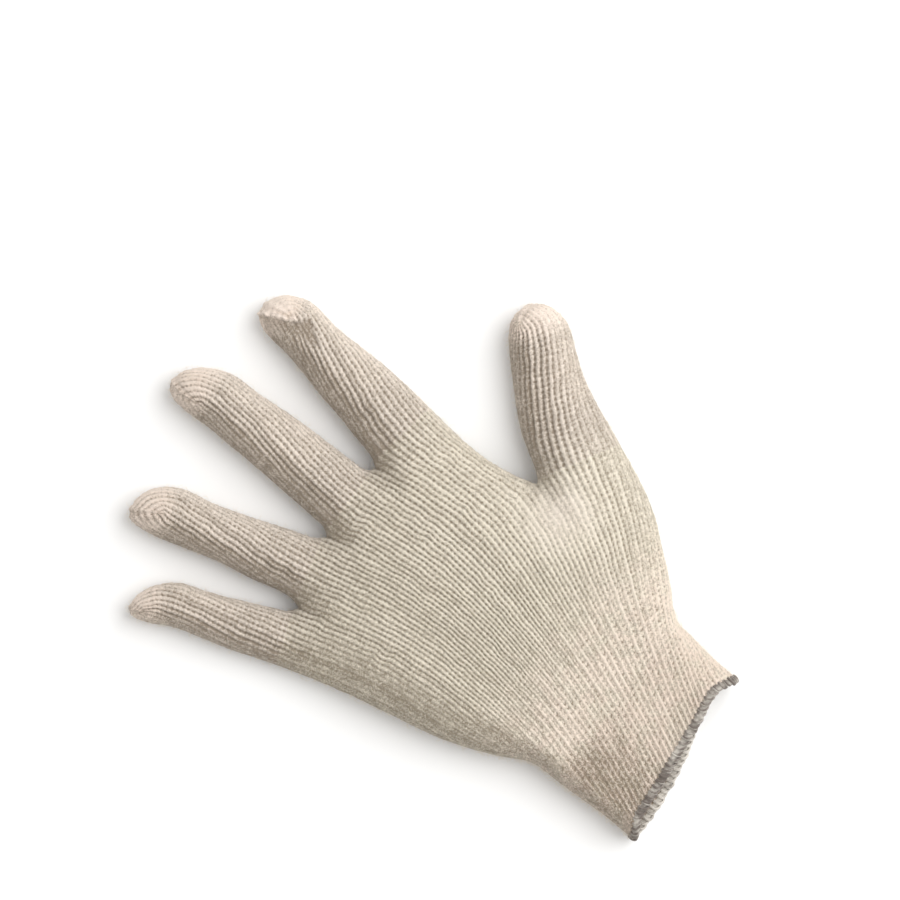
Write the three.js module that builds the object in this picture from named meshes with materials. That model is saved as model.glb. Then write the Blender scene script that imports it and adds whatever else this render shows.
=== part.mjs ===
// Cotton work glove for the left hand, knitted from string yarn, in millimetres.
// It lies palm down on z = 0. +Y runs from the cuff to the fingertips and +X to the thumb.
// Every piece is a hollow knitted wall, open towards the hand that wears it.
import * as THREE from 'three';

// Knit
const KNIT_WALL = 2;
const SEAM_GAP = 0.3;

// Cuff and wrist
const CUFF_LENGTH = 34;
const CUFF_WIDTH = 72;
const CUFF_HEIGHT = 19;
const MOUTH_HEIGHT = 21;
const MOUTH_REACH = 8;
const MOUTH_START = 0.75;
const WRIST_WIDTH = 75;
const WRIST_HEIGHT = 21;
const WRIST_SWING = 1;
const RIB_HEIGHT = 0.7;
const RIB_LEAN = 11;

// Thread edging round the mouth of the cuff
const OVERLOCK_WIDTH = 3.6;
const OVERLOCK_THICKNESS = 3;

// Hand tube
const HAND_LENGTH = 125;
const PALM_HEIGHT = 28;
const EDGE_DROP = 0.12;
const STALL_SPACING = 5;
const CROTCH_DEPTH = 20;
const CROTCH_RADIUS = 5;
const MIDDLE_OFFSET = -2.6;
const THUMB_ROOT_X = 62.5;
const THUMB_ROOT_Y = 65;
const WEB_RISE = 12;
const WEB_LEAN = -25;
const WEB_SPACING = 3;
const WEB_DEPTH = 26;
const WEB_RADIUS = 6;

// Middle finger, which the other fingers follow in their shares
const FINGER_WIDTH = 26.4;
const FINGER_LENGTH = 82;
const FINGER_THICKNESS = 18.5;

// Thumb
const THUMB_WIDTH = 34;
const THUMB_LENGTH = 64.5;
const THUMB_THICKNESS = 20;

const FINGER = { width: FINGER_WIDTH, length: FINGER_LENGTH, thickness: FINGER_THICKNESS };
const THUMB_STALL = { width: THUMB_WIDTH, length: THUMB_LENGTH, thickness: THUMB_THICKNESS };

// How far the hand tube reaches up each stall, and how soon a stall takes its own thickness
const STUB = 3;
const STALL_BLEND = 24;

// Share of a section's height that lies above its widest line
const CROWN = 0.54;

// Facet corners that fall in one cell of this size are one corner
const WELD = 0.00137;

// Stalls from the little finger to the thumb. width, length and thickness are shares of its kind's
// sizes, and tip, the length of the rounded end, is a share of its own length. splay is the angle
// from +Y towards the thumb in degrees, forward is how far the root lies towards the tips as a share
// of HAND_LENGTH, wales is the number of wales across the back and facets the faces across it.
const SHARES = [
  { name: 'little_finger', kind: FINGER, width: 0.795, length: 0.75, thickness: 0.864, tip: 0.26,
    splay: -20.8, forward: -0.012, wales: 12, facets: 5 },
  { name: 'ring_finger', kind: FINGER, width: 0.91, length: 0.878, thickness: 0.946, tip: 0.25,
    splay: -16.1, forward: 0.004, wales: 14, facets: 6 },
  { name: 'middle_finger', kind: FINGER, width: 1, length: 1, thickness: 1, tip: 0.225,
    splay: -0.5, forward: 0, wales: 15, facets: 6 },
  { name: 'index_finger', kind: FINGER, width: 1.083, length: 0.878, thickness: 1, tip: 0.195,
    splay: 7.5, forward: 0.022, wales: 15, facets: 6 },
  { name: 'thumb', kind: THUMB_STALL, width: 1, length: 1, thickness: 1, tip: 0.256,
    splay: 33, forward: 0, wales: 16, facets: 6 },
];
const STALLS = SHARES.map(({ kind, width, length, thickness, tip, ...rest }) => ({
  ...rest,
  width: width * kind.width,
  length: length * kind.length,
  thickness: thickness * kind.thickness,
  tip: tip * length * kind.length,
}));
const THUMB = STALLS.length - 1;
const MIDDLE = STALLS.findIndex(({ name }) => name === 'middle_finger');

// Form of each stall. at is a share of its length, girth of its width, and side of its length.
const FORMS = [
  [
    { at: 0, girth: 1, side: 0 }, { at: 0.13, girth: 0.98, side: 0 },
    { at: 0.33, girth: 0.92, side: -0.006 }, { at: 0.52, girth: 0.84, side: -0.004 },
    { at: 0.72, girth: 0.82, side: 0.002 }, { at: 0.82, girth: 0.82, side: -0.024 },
    { at: 0.91, girth: 0.81, side: -0.055 }, { at: 1, girth: 0.8, side: -0.1 },
  ],
  [
    { at: 0, girth: 1, side: 0 }, { at: 0.12, girth: 0.97, side: 0.004 },
    { at: 0.27, girth: 0.93, side: 0 }, { at: 0.45, girth: 0.84, side: 0.003 },
    { at: 0.6, girth: 0.83, side: 0 }, { at: 0.76, girth: 0.88, side: 0.005 },
    { at: 0.9, girth: 0.88, side: -0.014 }, { at: 1, girth: 0.88, side: -0.055 },
  ],
  [
    { at: 0, girth: 1, side: 0 }, { at: 0.1, girth: 0.985, side: 0 },
    { at: 0.25, girth: 0.955, side: 0.004 }, { at: 0.47, girth: 0.9, side: 0.008 },
    { at: 0.62, girth: 0.85, side: 0.004 }, { at: 0.77, girth: 0.83, side: 0.004 },
    { at: 0.9, girth: 0.82, side: -0.022 }, { at: 1, girth: 0.81, side: -0.055 },
  ],
  [
    { at: 0, girth: 1, side: 0 }, { at: 0.12, girth: 0.985, side: 0 },
    { at: 0.28, girth: 0.92, side: 0.003 }, { at: 0.45, girth: 0.85, side: -0.002 },
    { at: 0.62, girth: 0.74, side: -0.005 }, { at: 0.8, girth: 0.73, side: -0.003 },
    { at: 1, girth: 0.74, side: -0.045 },
  ],
  [
    { at: 0, girth: 1, side: 0 }, { at: 0.12, girth: 0.97, side: -0.014 },
    { at: 0.31, girth: 0.91, side: -0.037 }, { at: 0.5, girth: 0.81, side: -0.034 },
    { at: 0.68, girth: 0.753, side: -0.012 }, { at: 0.8, girth: 0.735, side: 0.006 },
    { at: 1, girth: 0.72, side: 0.004 },
  ],
];

// Edges of the hand in plan. along is a share of the way from the wrist to the outer corner of the stall, and
// out of the way from the wrist's side to that corner.
const LITTLE_EDGE = [
  { along: 0, out: 0 }, { along: 0.1, out: 0.02 }, { along: 0.2, out: 0.2 }, { along: 0.3, out: 0.35 },
  { along: 0.42, out: 0.49 }, { along: 0.6, out: 0.63 }, { along: 0.8, out: 0.79 }, { along: 1, out: 1 },
];
const THUMB_EDGE = [
  { along: 0, out: 0 }, { along: 0.1, out: 0.11 }, { along: 0.2, out: 0.26 }, { along: 0.37, out: 0.46 },
  { along: 0.55, out: 0.67 }, { along: 0.75, out: 0.84 }, { along: 1, out: 1 },
];

// Height of the hand tube between the wrist and the stalls. along is a share of HAND_LENGTH, height of
// PALM_HEIGHT.
const HAND_HEIGHTS = [{ along: 0.2, height: 0.9 }, { along: 0.45, height: 1 }, { along: 0.72, height: 0.93 }];

// End of the knit round the mouth. place is a share of the width from the little finger's side, back and palm
// are shares of MOUTH_REACH for the two layers.
const MOUTH_EDGE = [
  { place: 0, back: -0.5, palm: -0.5 }, { place: 0.12, back: 0, palm: -0.52 },
  { place: 0.3, back: 0.17, palm: -0.38 }, { place: 0.5, back: 0.4, palm: 0 },
  { place: 0.68, back: 0.6, palm: 0.45 }, { place: 0.88, back: 0.85, palm: 0.75 },
  { place: 1, back: 0.35, palm: 0.35 },
];

// Where the seams between the strips of the hand stand at the wrist, as shares of its width
const WRIST_SEAMS = [0, 0.1, 0.33, 0.576, 0.822, 1];

// Rows of facets. Hand and stall rows are shares of their lengths, tip rows are degrees of the round.
const LOWER_ROWS = [0, 0.12, 0.25, 0.38, 0.52, 0.66, 0.79, 0.88, 0.95, 1];
const UPPER_ROWS = [0.16, 0.34, 0.52, 0.68, 0.8, 0.89, 0.955, 1];
const STUB_ROWS = [0, 0.3, 1];
const STALL_ROWS = [0, 0.1, 0.24, 0.38, 0.52, 0.66, 0.8, 0.91, 1];
const TIP_ROWS = [22, 42, 60, 76, 90];
const CUFF_ROWS = 5;
const OVERLOCK_FACETS = 6;
const OVERLOCK_STEP = 2;

const { lerp, clamp, degToRad } = THREE.MathUtils;
const smooth = (share) => THREE.MathUtils.smoothstep(share, 0, 1);
const heading = (degrees) => new THREE.Vector2(Math.sin(degToRad(degrees)), Math.cos(degToRad(degrees)));

// Reads a column of a table at a place between its rows, along a smooth curve through them
function readTable(rows, place, column, t) {
  let i = 0;
  while (i < rows.length - 2 && t > rows[i + 1][place]) i += 1;
  const slope = (a, b) => (rows[b][column] - rows[a][column]) / (rows[b][place] - rows[a][place]);
  const step = rows[i + 1][place] - rows[i][place];
  const s = clamp((t - rows[i][place]) / step, 0, 1);
  const start = slope(Math.max(i - 1, 0), i + 1) * step;
  const end = slope(i, Math.min(i + 2, rows.length - 1)) * step;
  const rise = rows[i + 1][column] - rows[i][column];
  const bend = 3 * rise - 2 * start - end;
  return rows[i][column] + s * start + s * s * bend + s * s * s * (start + end - 2 * rise);
}

// A plan curve that leaves one point along a heading and arrives at another along a second heading
function curveBetween(from, leaving, to, arriving, t) {
  const reach = from.distanceTo(to);
  const point = from.clone().multiplyScalar(2 * t ** 3 - 3 * t ** 2 + 1);
  point.addScaledVector(leaving, reach * (t ** 3 - 2 * t ** 2 + t));
  point.addScaledVector(to, 3 * t ** 2 - 2 * t ** 3);
  return point.addScaledVector(arriving, reach * (t ** 3 - t ** 2));
}

// Plan of the stalls: each has a root, the direction it runs in and the direction across it. The roots stand
// side by side from the middle finger outwards, and the thumb has a root of its own.
for (const stall of STALLS) {
  stall.run = heading(stall.splay);
  stall.across = heading(stall.splay + 90);
}

function rootBeside(neighbour, stall, side) {
  const root = neighbour.root.clone();
  root.addScaledVector(neighbour.across, side * neighbour.width / 2);
  root.addScaledVector(neighbour.across.clone().add(stall.across).normalize(), side * STALL_SPACING);
  root.addScaledVector(stall.across, side * stall.width / 2);
  return root.addScaledVector(stall.run, stall.forward * HAND_LENGTH);
}

STALLS[MIDDLE].root = new THREE.Vector2(MIDDLE_OFFSET, CUFF_LENGTH + HAND_LENGTH);
for (let k = MIDDLE - 1; k >= 0; k -= 1) STALLS[k].root = rootBeside(STALLS[k + 1], STALLS[k], -1);
for (let k = MIDDLE + 1; k < THUMB; k += 1) STALLS[k].root = rootBeside(STALLS[k - 1], STALLS[k], 1);
STALLS[THUMB].root = new THREE.Vector2(THUMB_ROOT_X, CUFF_LENGTH + THUMB_ROOT_Y);

// Each stall starts from two plan points: a crotch shared with its neighbour, or its own outer corner
const corner = (stall, side) => stall.root.clone().addScaledVector(stall.across, side * stall.width / 2);
const between = (a, b) => corner(a, 1).add(corner(b, -1)).divideScalar(2);
const crotches = STALLS.slice(1, THUMB).map((stall, i) => between(STALLS[i], stall));
const web = corner(STALLS[THUMB], -1).addScaledVector(STALLS[THUMB].across, -WEB_SPACING / 2);
const littleCorner = corner(STALLS[0], -1);
const indexCorner = corner(STALLS[THUMB - 1], 1);
const thumbCorner = corner(STALLS[THUMB], 1);
STALLS.forEach((stall, k) => {
  stall.from = [k ? crotches[k - 1] : littleCorner, crotches[k] ?? indexCorner];
});
STALLS[THUMB].from = [web, thumbCorner];

// Wales from the little finger's side to each seam, and the share of HAND_LENGTH at which the thumb leaves
const seams = STALLS.reduce((list, stall) => [...list, list[list.length - 1] + stall.wales], [0]);
const WALES = seams[STALLS.length];
const webShare = (THUMB_ROOT_Y + WEB_RISE) / HAND_LENGTH;

function edgePoint(table, wrist, end, t) {
  const out = readTable(table, 'along', 'out', t);
  return new THREE.Vector2(lerp(wrist.x, end.x, out), lerp(wrist.y, end.y, t));
}

// Seam k of the hand in plan, at a share q of the way from the wrist to the roots of the stalls
function seamPoint(k, q) {
  const wrist = new THREE.Vector2(WRIST_SWING + (WRIST_SEAMS[k] - 0.5) * WRIST_WIDTH, CUFF_LENGTH);
  if (k === 0) return edgePoint(LITTLE_EDGE, wrist, littleCorner, q);
  if (k > THUMB) return edgePoint(THUMB_EDGE, wrist, thumbCorner, q / webShare);
  if (k === THUMB && q > webShare) {
    const t = (q - webShare) / (1 - webShare);
    return curveBetween(web, heading(WEB_LEAN), indexCorner, STALLS[THUMB - 1].run, t);
  }
  const arriving = STALLS[k - 1].run.clone().add(STALLS[k].run).normalize();
  if (k === THUMB) return curveBetween(wrist, heading(0), web, arriving, q / webShare);
  return curveBetween(wrist, heading(0), crotches[k - 1], arriving, q);
}

// How far a seam has closed from an open tube, 0, to a crotch, 1
function seamClosed(k, q) {
  if (k === 0 || k > THUMB) return 1;
  if (k < THUMB) return clamp(1 - (1 - q) * HAND_LENGTH / CROTCH_DEPTH, 0, 1);
  return clamp(1 - (webShare - q) * HAND_LENGTH / WEB_DEPTH, 0, 1);
}

// Thickness over the knuckles at wale w, which passes smoothly from stall to stall
function knuckleHeight(w) {
  const middles = STALLS.slice(0, THUMB).map((stall, k) => (seams[k] + seams[k + 1]) / 2);
  let k = 0;
  while (k < THUMB - 2 && w > middles[k + 1]) k += 1;
  const share = smooth((w - middles[k]) / (middles[k + 1] - middles[k]));
  return lerp(STALLS[k].thickness, STALLS[k + 1].thickness, share);
}

// Height of the hand at wale w and share q. It falls towards both edges.
function handHeight(w, q) {
  const aside = 2 * w / WALES - 1;
  const fall = 1 - EDGE_DROP * aside ** 2 * smooth(q / HAND_HEIGHTS[0].along);
  const rows = [
    { along: 0, height: WRIST_HEIGHT },
    ...HAND_HEIGHTS.map(({ along, height }) => ({ along, height: height * PALM_HEIGHT })),
    { along: 1, height: knuckleHeight(w) / fall },
  ];
  return readTable(rows, 'along', 'height', q) * fall;
}

// A point at share u of the arc between two seams. A closed seam lies on the widest line, an open one on the
// crown. up is 1 on the back and -1 on the palm side, which is flattened where it rests.
function sectionPoint(left, right, closed, u, height, up, shrink = 1) {
  const start = -Math.asin(closed[0]);
  const end = Math.asin(closed[1]);
  const angle = lerp(start, end, u);
  const spread = Math.sin(end) - Math.sin(start);
  const share = spread > 0 ? (Math.sin(angle) - Math.sin(start)) / spread : u;
  const z = height * (1 - CROWN) + up * height * CROWN * shrink * Math.cos(angle);
  return new THREE.Vector3(lerp(left.x, right.x, share), lerp(left.y, right.y, share), Math.max(0, z));
}

function handPoint(k, u, q, up) {
  const height = handHeight(seams[k] + u * STALLS[k].wales, q);
  const closed = [seamClosed(k, q), seamClosed(k + 1, q)];
  return sectionPoint(seamPoint(k, q), seamPoint(k + 1, q), closed, u, height, up);
}

// A point of stall k at distance d from its root. The root flares into the crotches in a quarter round, and
// the tip closes in another.
function stallPoint(k, u, d, up) {
  const stall = STALLS[k];
  const t = d / stall.length;
  const shrink = Math.sqrt(1 - clamp(1 - (stall.length - d) / stall.tip, 0, 1) ** 2);
  const girth = stall.width / 2 * readTable(FORMS[k], 'at', 'girth', t) * shrink;
  const side = stall.length * readTable(FORMS[k], 'at', 'side', t);
  const radius = k === THUMB ? WEB_RADIUS : CROTCH_RADIUS;
  const flare = 1 - Math.sqrt(1 - (1 - clamp(d / radius, 0, 1)) ** 2);
  const [left, right] = [-1, 1].map((hand, i) => {
    const edge = stall.root.clone().addScaledVector(stall.run, d);
    edge.addScaledVector(stall.across, side + hand * girth);
    return edge.addScaledVector(stall.from[i].clone().sub(corner(stall, hand)), flare);
  });
  const rootHeight = handHeight(seams[k] + u * stall.wales, k === THUMB ? webShare : 1);
  const height = lerp(rootHeight, stall.thickness, smooth(d / STALL_BLEND));
  return sectionPoint(left, right, [1, 1], u, height, up, shrink);
}

// A knitted sheet collects facets by piece. Facets that meet share their corners, found by place.
class Sheet {
  constructor() {
    this.points = [];
    this.faces = [];
    this.places = new Map();
  }

  corner(point) {
    const key = point.toArray().map((value) => Math.round(value / WELD)).join(' ');
    if (!this.places.has(key)) {
      this.places.set(key, this.points.length);
      this.points.push(point);
    }
    return this.places.get(key);
  }

  face(piece, ...corners) {
    if (new Set(corners).size === 3) this.faces.push({ piece, corners });
  }

  // Adds rows of facets between lines of points, given from the cuff to the tip and seen from outside
  strip(piece, lines) {
    const ids = lines.map((line) => line.map((point) => this.corner(point)));
    for (let j = 0; j + 1 < ids.length; j += 1) {
      for (let i = 0; i + 1 < ids[j].length; i += 1) {
        this.face(piece, ids[j][i], ids[j][i + 1], ids[j + 1][i + 1]);
        this.face(piece, ids[j][i], ids[j + 1][i + 1], ids[j + 1][i]);
      }
    }
  }

  // Outward direction at each corner, weighted by the angle of each facet there
  normals() {
    const sums = this.points.map(() => new THREE.Vector3());
    for (const { corners } of this.faces) {
      const facet = new THREE.Triangle(...corners.map((id) => this.points[id]));
      const outward = facet.getNormal(new THREE.Vector3());
      corners.forEach((id, i) => {
        const here = this.points[id];
        const one = this.points[corners[(i + 1) % 3]].clone().sub(here);
        const other = this.points[corners[(i + 2) % 3]].clone().sub(here);
        sums[id].addScaledVector(outward, one.angleTo(other));
      });
    }
    return sums.map((sum) => sum.normalize());
  }
}

// Turns one piece of a sheet into a closed wall: its outer surface, an inner copy and the rims between them
function knittedWall(sheet, normals, piece, surface = sheet.points) {
  const faces = sheet.faces.filter((face) => face.piece === piece).map((face) => face.corners);
  const ids = [...new Set(faces.flat())];
  const count = ids.length;
  const order = new Map(ids.map((id, i) => [id, i]));
  const outer = ids.map((id) => surface[id]);
  const inner = ids.map((id) => sheet.points[id].clone().addScaledVector(normals[id], -KNIT_WALL));
  const index = [];
  const edges = new Set();
  for (const corners of faces) {
    const [a, b, c] = corners.map((id) => order.get(id));
    index.push(a, b, c, a + count, c + count, b + count);
    for (const [from, to] of [[a, b], [b, c], [c, a]]) edges.add(`${from} ${to}`);
  }
  for (const edge of edges) {
    const [from, to] = edge.split(' ').map(Number);
    const open = !edges.has(`${to} ${from}`);
    if (open) index.push(to, from, from + count, to, from + count, to + count);
  }
  const geometry = new THREE.BufferGeometry().setFromPoints([...outer, ...inner]);
  geometry.setIndex(index);
  return geometry;
}

// Lays a stall's strip on both sides. The back runs from the little finger's side, the palm side towards it.
function addStrips(sheet, piece, k, rows, point) {
  const { facets } = STALLS[k];
  for (const up of [1, -1]) {
    const share = (i) => (up > 0 ? i : facets - i) / facets;
    const line = (row) => Array.from({ length: facets + 1 }, (_, i) => point(k, share(i), row, up));
    sheet.strip(piece, rows.map(line));
  }
}

// The hand tube reaches up each stall as a stub, and the stall follows it after a gap
function buildHand() {
  const sheet = new Sheet();
  const lower = LOWER_ROWS.map((share) => share * webShare);
  const upper = UPPER_ROWS.map((share) => lerp(webShare, 1, share));
  STALLS.forEach((stall, k) => {
    const start = STUB + SEAM_GAP;
    const round = stall.length - stall.tip;
    const shaft = STALL_ROWS.map((share) => lerp(start, round, share));
    const tip = TIP_ROWS.map((angle) => stall.length - stall.tip * (1 - Math.sin(degToRad(angle))));
    addStrips(sheet, 'palm', k, k === THUMB ? lower : [...lower, ...upper], handPoint);
    addStrips(sheet, 'palm', k, STUB_ROWS.map((share) => share * STUB), stallPoint);
    addStrips(sheet, 'gap', k, [STUB, start], stallPoint);
    addStrips(sheet, stall.name, k, [...shaft, ...tip], stallPoint);
  });
  return sheet;
}

// Where the edging ends at the mouth, for a place x across the cuff and a rise from the palm side, 0, to the
// back, 1
function mouthLine(x, rise) {
  const place = x / CUFF_WIDTH + 0.5;
  const back = readTable(MOUTH_EDGE, 'place', 'back', place);
  const palm = readTable(MOUTH_EDGE, 'place', 'palm', place);
  return MOUTH_REACH * lerp(palm, back, rise);
}

// A point of the cuff before it is ribbed, at wale w round the tube from the little finger's side over the
// back, and at a share t of the way from the wrist to the mouth
function cuffPoint(w, t) {
  const turn = (w - RIB_LEAN * t + 2 * WALES) % (2 * WALES);
  const up = turn < WALES ? 1 : -1;
  const wale = up > 0 ? turn : 2 * WALES - turn;
  let k = 0;
  while (k < THUMB && wale > seams[k + 1]) k += 1;
  const drawn = smooth(t / MOUTH_START);
  const width = lerp(WRIST_WIDTH, CUFF_WIDTH, drawn);
  const eased = smooth((t - MOUTH_START) / (1 - MOUTH_START));
  const height = lerp(lerp(WRIST_HEIGHT, CUFF_HEIGHT, drawn), MOUTH_HEIGHT, eased);
  const middle = lerp(WRIST_SWING, 0, t);
  const [left, right] = [k, k + 1].map((i) => new THREE.Vector2(middle + (WRIST_SEAMS[i] - 0.5) * width, 0));
  const closed = [k === 0 ? 1 : 0, k === THUMB ? 1 : 0];
  const point = sectionPoint(left, right, closed, (wale - seams[k]) / STALLS[k].wales, height, up);
  const end = OVERLOCK_WIDTH + SEAM_GAP + mouthLine(point.x, point.z / height);
  point.y = lerp(CUFF_LENGTH - SEAM_GAP, end, t);
  return point;
}

const ring = (count, point) => Array.from({ length: count }, (_, i) => point(i));
const closeRing = (points) => [...points, points[0]];

// The elastic draws every second wale in, which leaves the wales between them standing as ribs
function buildCuff() {
  const sheet = new Sheet();
  const rows = ring(CUFF_ROWS + 1, (j) => ring(2 * WALES, (w) => cuffPoint(w, 1 - j / CUFF_ROWS)));
  sheet.strip('cuff', rows.map(closeRing));
  const normals = sheet.normals();
  const ribbed = sheet.points.map((point) => point.clone());
  for (const row of rows) {
    row.filter((_, w) => w % 2).forEach((point) => {
      const id = sheet.corner(point);
      ribbed[id].addScaledVector(normals[id], -RIB_HEIGHT);
    });
  }
  return knittedWall(sheet, normals, 'cuff', ribbed);
}

// The thread edging is a soft roll round the raw end of the knit, flattened where it rests
function buildOverlock() {
  const count = Math.round(2 * WALES / OVERLOCK_STEP);
  const end = ring(count, (i) => cuffPoint(i * OVERLOCK_STEP, 1));
  const before = ring(count, (i) => cuffPoint(i * OVERLOCK_STEP, MOUTH_START));
  const frames = end.map((point, i) => {
    const outward = point.clone().sub(before[i]).normalize();
    const along = end[(i + 1) % count].clone().sub(end[(i + count - 1) % count]);
    const normal = outward.clone().cross(along).normalize();
    const middle = point.clone().addScaledVector(normal, -KNIT_WALL / 2);
    return { middle: middle.addScaledVector(outward, SEAM_GAP + OVERLOCK_WIDTH / 2), outward, normal };
  });
  const section = ring(OVERLOCK_FACETS, (j) => {
    const angle = 2 * Math.PI * (j + 0.5) / OVERLOCK_FACETS;
    return frames.map(({ middle, outward, normal }) => {
      const place = middle.clone().addScaledVector(outward, Math.cos(angle) * OVERLOCK_WIDTH / 2);
      place.addScaledVector(normal, Math.sin(angle) * OVERLOCK_THICKNESS / 2);
      return place.setZ(Math.max(0, place.z));
    });
  });
  const sheet = new Sheet();
  sheet.strip('overlock', closeRing(section.map(closeRing)));
  const geometry = new THREE.BufferGeometry().setFromPoints(sheet.points);
  geometry.setIndex(sheet.faces.flatMap((face) => face.corners));
  return geometry;
}

// Unbleached cotton, a little greyer in the elastic cuff and in the polyester edging thread
const COTTON = new THREE.MeshStandardMaterial({ color: 0xd8ccb8, roughness: 0.95, metalness: 0 });
const ELASTIC = new THREE.MeshStandardMaterial({ color: 0xd0c5b2, roughness: 0.95, metalness: 0 });
const THREAD = new THREE.MeshStandardMaterial({ color: 0xbdb5ab, roughness: 0.85, metalness: 0 });

const glove = new THREE.Group();

function addPiece(name, geometry, material) {
  const mesh = new THREE.Mesh(geometry, material.clone());
  mesh.name = name;
  glove.add(mesh);
}

const hand = buildHand();
const outward = hand.normals();
addPiece('palm', knittedWall(hand, outward, 'palm'), COTTON);
for (const { name } of STALLS) addPiece(name, knittedWall(hand, outward, name), COTTON);
addPiece('cuff', buildCuff(), ELASTIC);
addPiece('overlock', buildOverlock(), THREAD);

// The origin is the middle of the glove's footprint, on the surface that it lies on
const box = new THREE.Box3().setFromObject(glove);
const middle = box.getCenter(new THREE.Vector3());
glove.position.set(-middle.x, -middle.y, -box.min.z);
const group = new THREE.Group();
group.add(glove);

export default group;
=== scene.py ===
"""Cotton work glove: a seamless string-knit glove for the left hand, dressed stitch by stitch."""

import math

import bpy
import numpy as np
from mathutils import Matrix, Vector
from mathutils.bvhtree import BVHTree


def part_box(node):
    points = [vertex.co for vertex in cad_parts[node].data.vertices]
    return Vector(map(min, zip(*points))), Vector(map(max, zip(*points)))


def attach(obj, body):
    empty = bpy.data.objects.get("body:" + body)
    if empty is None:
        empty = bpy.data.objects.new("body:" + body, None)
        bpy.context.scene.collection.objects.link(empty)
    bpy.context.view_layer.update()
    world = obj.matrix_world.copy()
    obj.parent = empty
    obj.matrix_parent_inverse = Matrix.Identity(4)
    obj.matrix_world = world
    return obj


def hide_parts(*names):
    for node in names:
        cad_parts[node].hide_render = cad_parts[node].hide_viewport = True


bl_info = {
    "name": "Cotton work glove",
    "version": (1, 0, 0),
    "blender": (4, 5, 0),
    "location": "3D View > Sidebar > Glove",
    "description": "Knits a cotton work glove over its solid pieces",
    "category": "Object",
}

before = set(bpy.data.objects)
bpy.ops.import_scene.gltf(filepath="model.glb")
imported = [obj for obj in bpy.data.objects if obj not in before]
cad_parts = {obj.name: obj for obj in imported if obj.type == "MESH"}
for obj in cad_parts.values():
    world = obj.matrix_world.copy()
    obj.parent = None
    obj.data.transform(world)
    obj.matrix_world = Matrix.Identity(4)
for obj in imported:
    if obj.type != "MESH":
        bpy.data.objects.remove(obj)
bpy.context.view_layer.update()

# Sizes of the solid glove, in millimetres
CUFF_LENGTH = 34.0
CUFF_WIDTH = 72.0
CUFF_HEIGHT = 19.0
MOUTH_HEIGHT = 21.0
MOUTH_REACH = 8.0
MOUTH_START = 0.75
WRIST_WIDTH = 75.0
WRIST_HEIGHT = 21.0
WRIST_SWING = 1.0
RIB_LEAN = 11.0
OVERLOCK_WIDTH = 3.6
SEAM_GAP = 0.3
HAND_LENGTH = 125.0
PALM_HEIGHT = 28.0
EDGE_DROP = 0.12
STALL_SPACING = 5.0
CROTCH_DEPTH = 20.0
CROTCH_RADIUS = 5.0
MIDDLE_OFFSET = -2.6
THUMB_ROOT_X = 62.5
THUMB_ROOT_Y = 65.0
WEB_RISE = 12.0
WEB_LEAN = -25.0
WEB_SPACING = 3.0
WEB_DEPTH = 26.0
WEB_RADIUS = 6.0
STALL_BLEND = 24.0
CROWN = 0.54

FINGER = {"width": 26.4, "length": 82.0, "thickness": 18.5}
THUMB_STALL = {"width": 34.0, "length": 64.5, "thickness": 20.0}

# Stalls from the little finger to the thumb, with shares of their kind's sizes. turn is how far the twist
# has swung the closing line of the tip, in degrees, ear how far towards the tip the ends of that line lie,
# gathered how far the yarn gathered there hides the wales, dull how far the stall is darkened past its root,
# and warm how far its first stitches have taken its warmer colour.
SHARES = [
    {"name": "little_finger", "kind": FINGER, "width": 0.795, "length": 0.75, "thickness": 0.864, "tip": 0.26,
     "splay": -20.8, "forward": -0.012, "wales": 12, "turn": 65, "ear": 0.6, "gathered": 0.6, "dull": 0.2,
     "warm": 0.2},
    {"name": "ring_finger", "kind": FINGER, "width": 0.91, "length": 0.878, "thickness": 0.946, "tip": 0.25,
     "splay": -16.1, "forward": 0.004, "wales": 14, "turn": 84, "ear": 0.26, "gathered": 0.2, "dull": 0.05,
     "warm": 0.2},
    {"name": "middle_finger", "kind": FINGER, "width": 1.0, "length": 1.0, "thickness": 1.0, "tip": 0.225,
     "splay": -0.5, "forward": 0.0, "wales": 15, "turn": 60, "ear": 0.15, "gathered": 0.2, "dull": 0.0,
     "warm": 0.2},
    {"name": "index_finger", "kind": FINGER, "width": 1.083, "length": 0.878, "thickness": 1.0, "tip": 0.195,
     "splay": 7.5, "forward": 0.022, "wales": 15, "turn": 98, "ear": 0.12, "gathered": 0.85, "dull": 0.0,
     "warm": 0.2},
    {"name": "thumb", "kind": THUMB_STALL, "width": 1.0, "length": 1.0, "thickness": 1.0, "tip": 0.256,
     "splay": 33.0, "forward": 0.0, "wales": 16, "turn": 50, "ear": 0.6, "gathered": 0.7, "dull": 0.24,
     "warm": 0.0},
]
THUMB = len(SHARES) - 1
MIDDLE = 2

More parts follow.
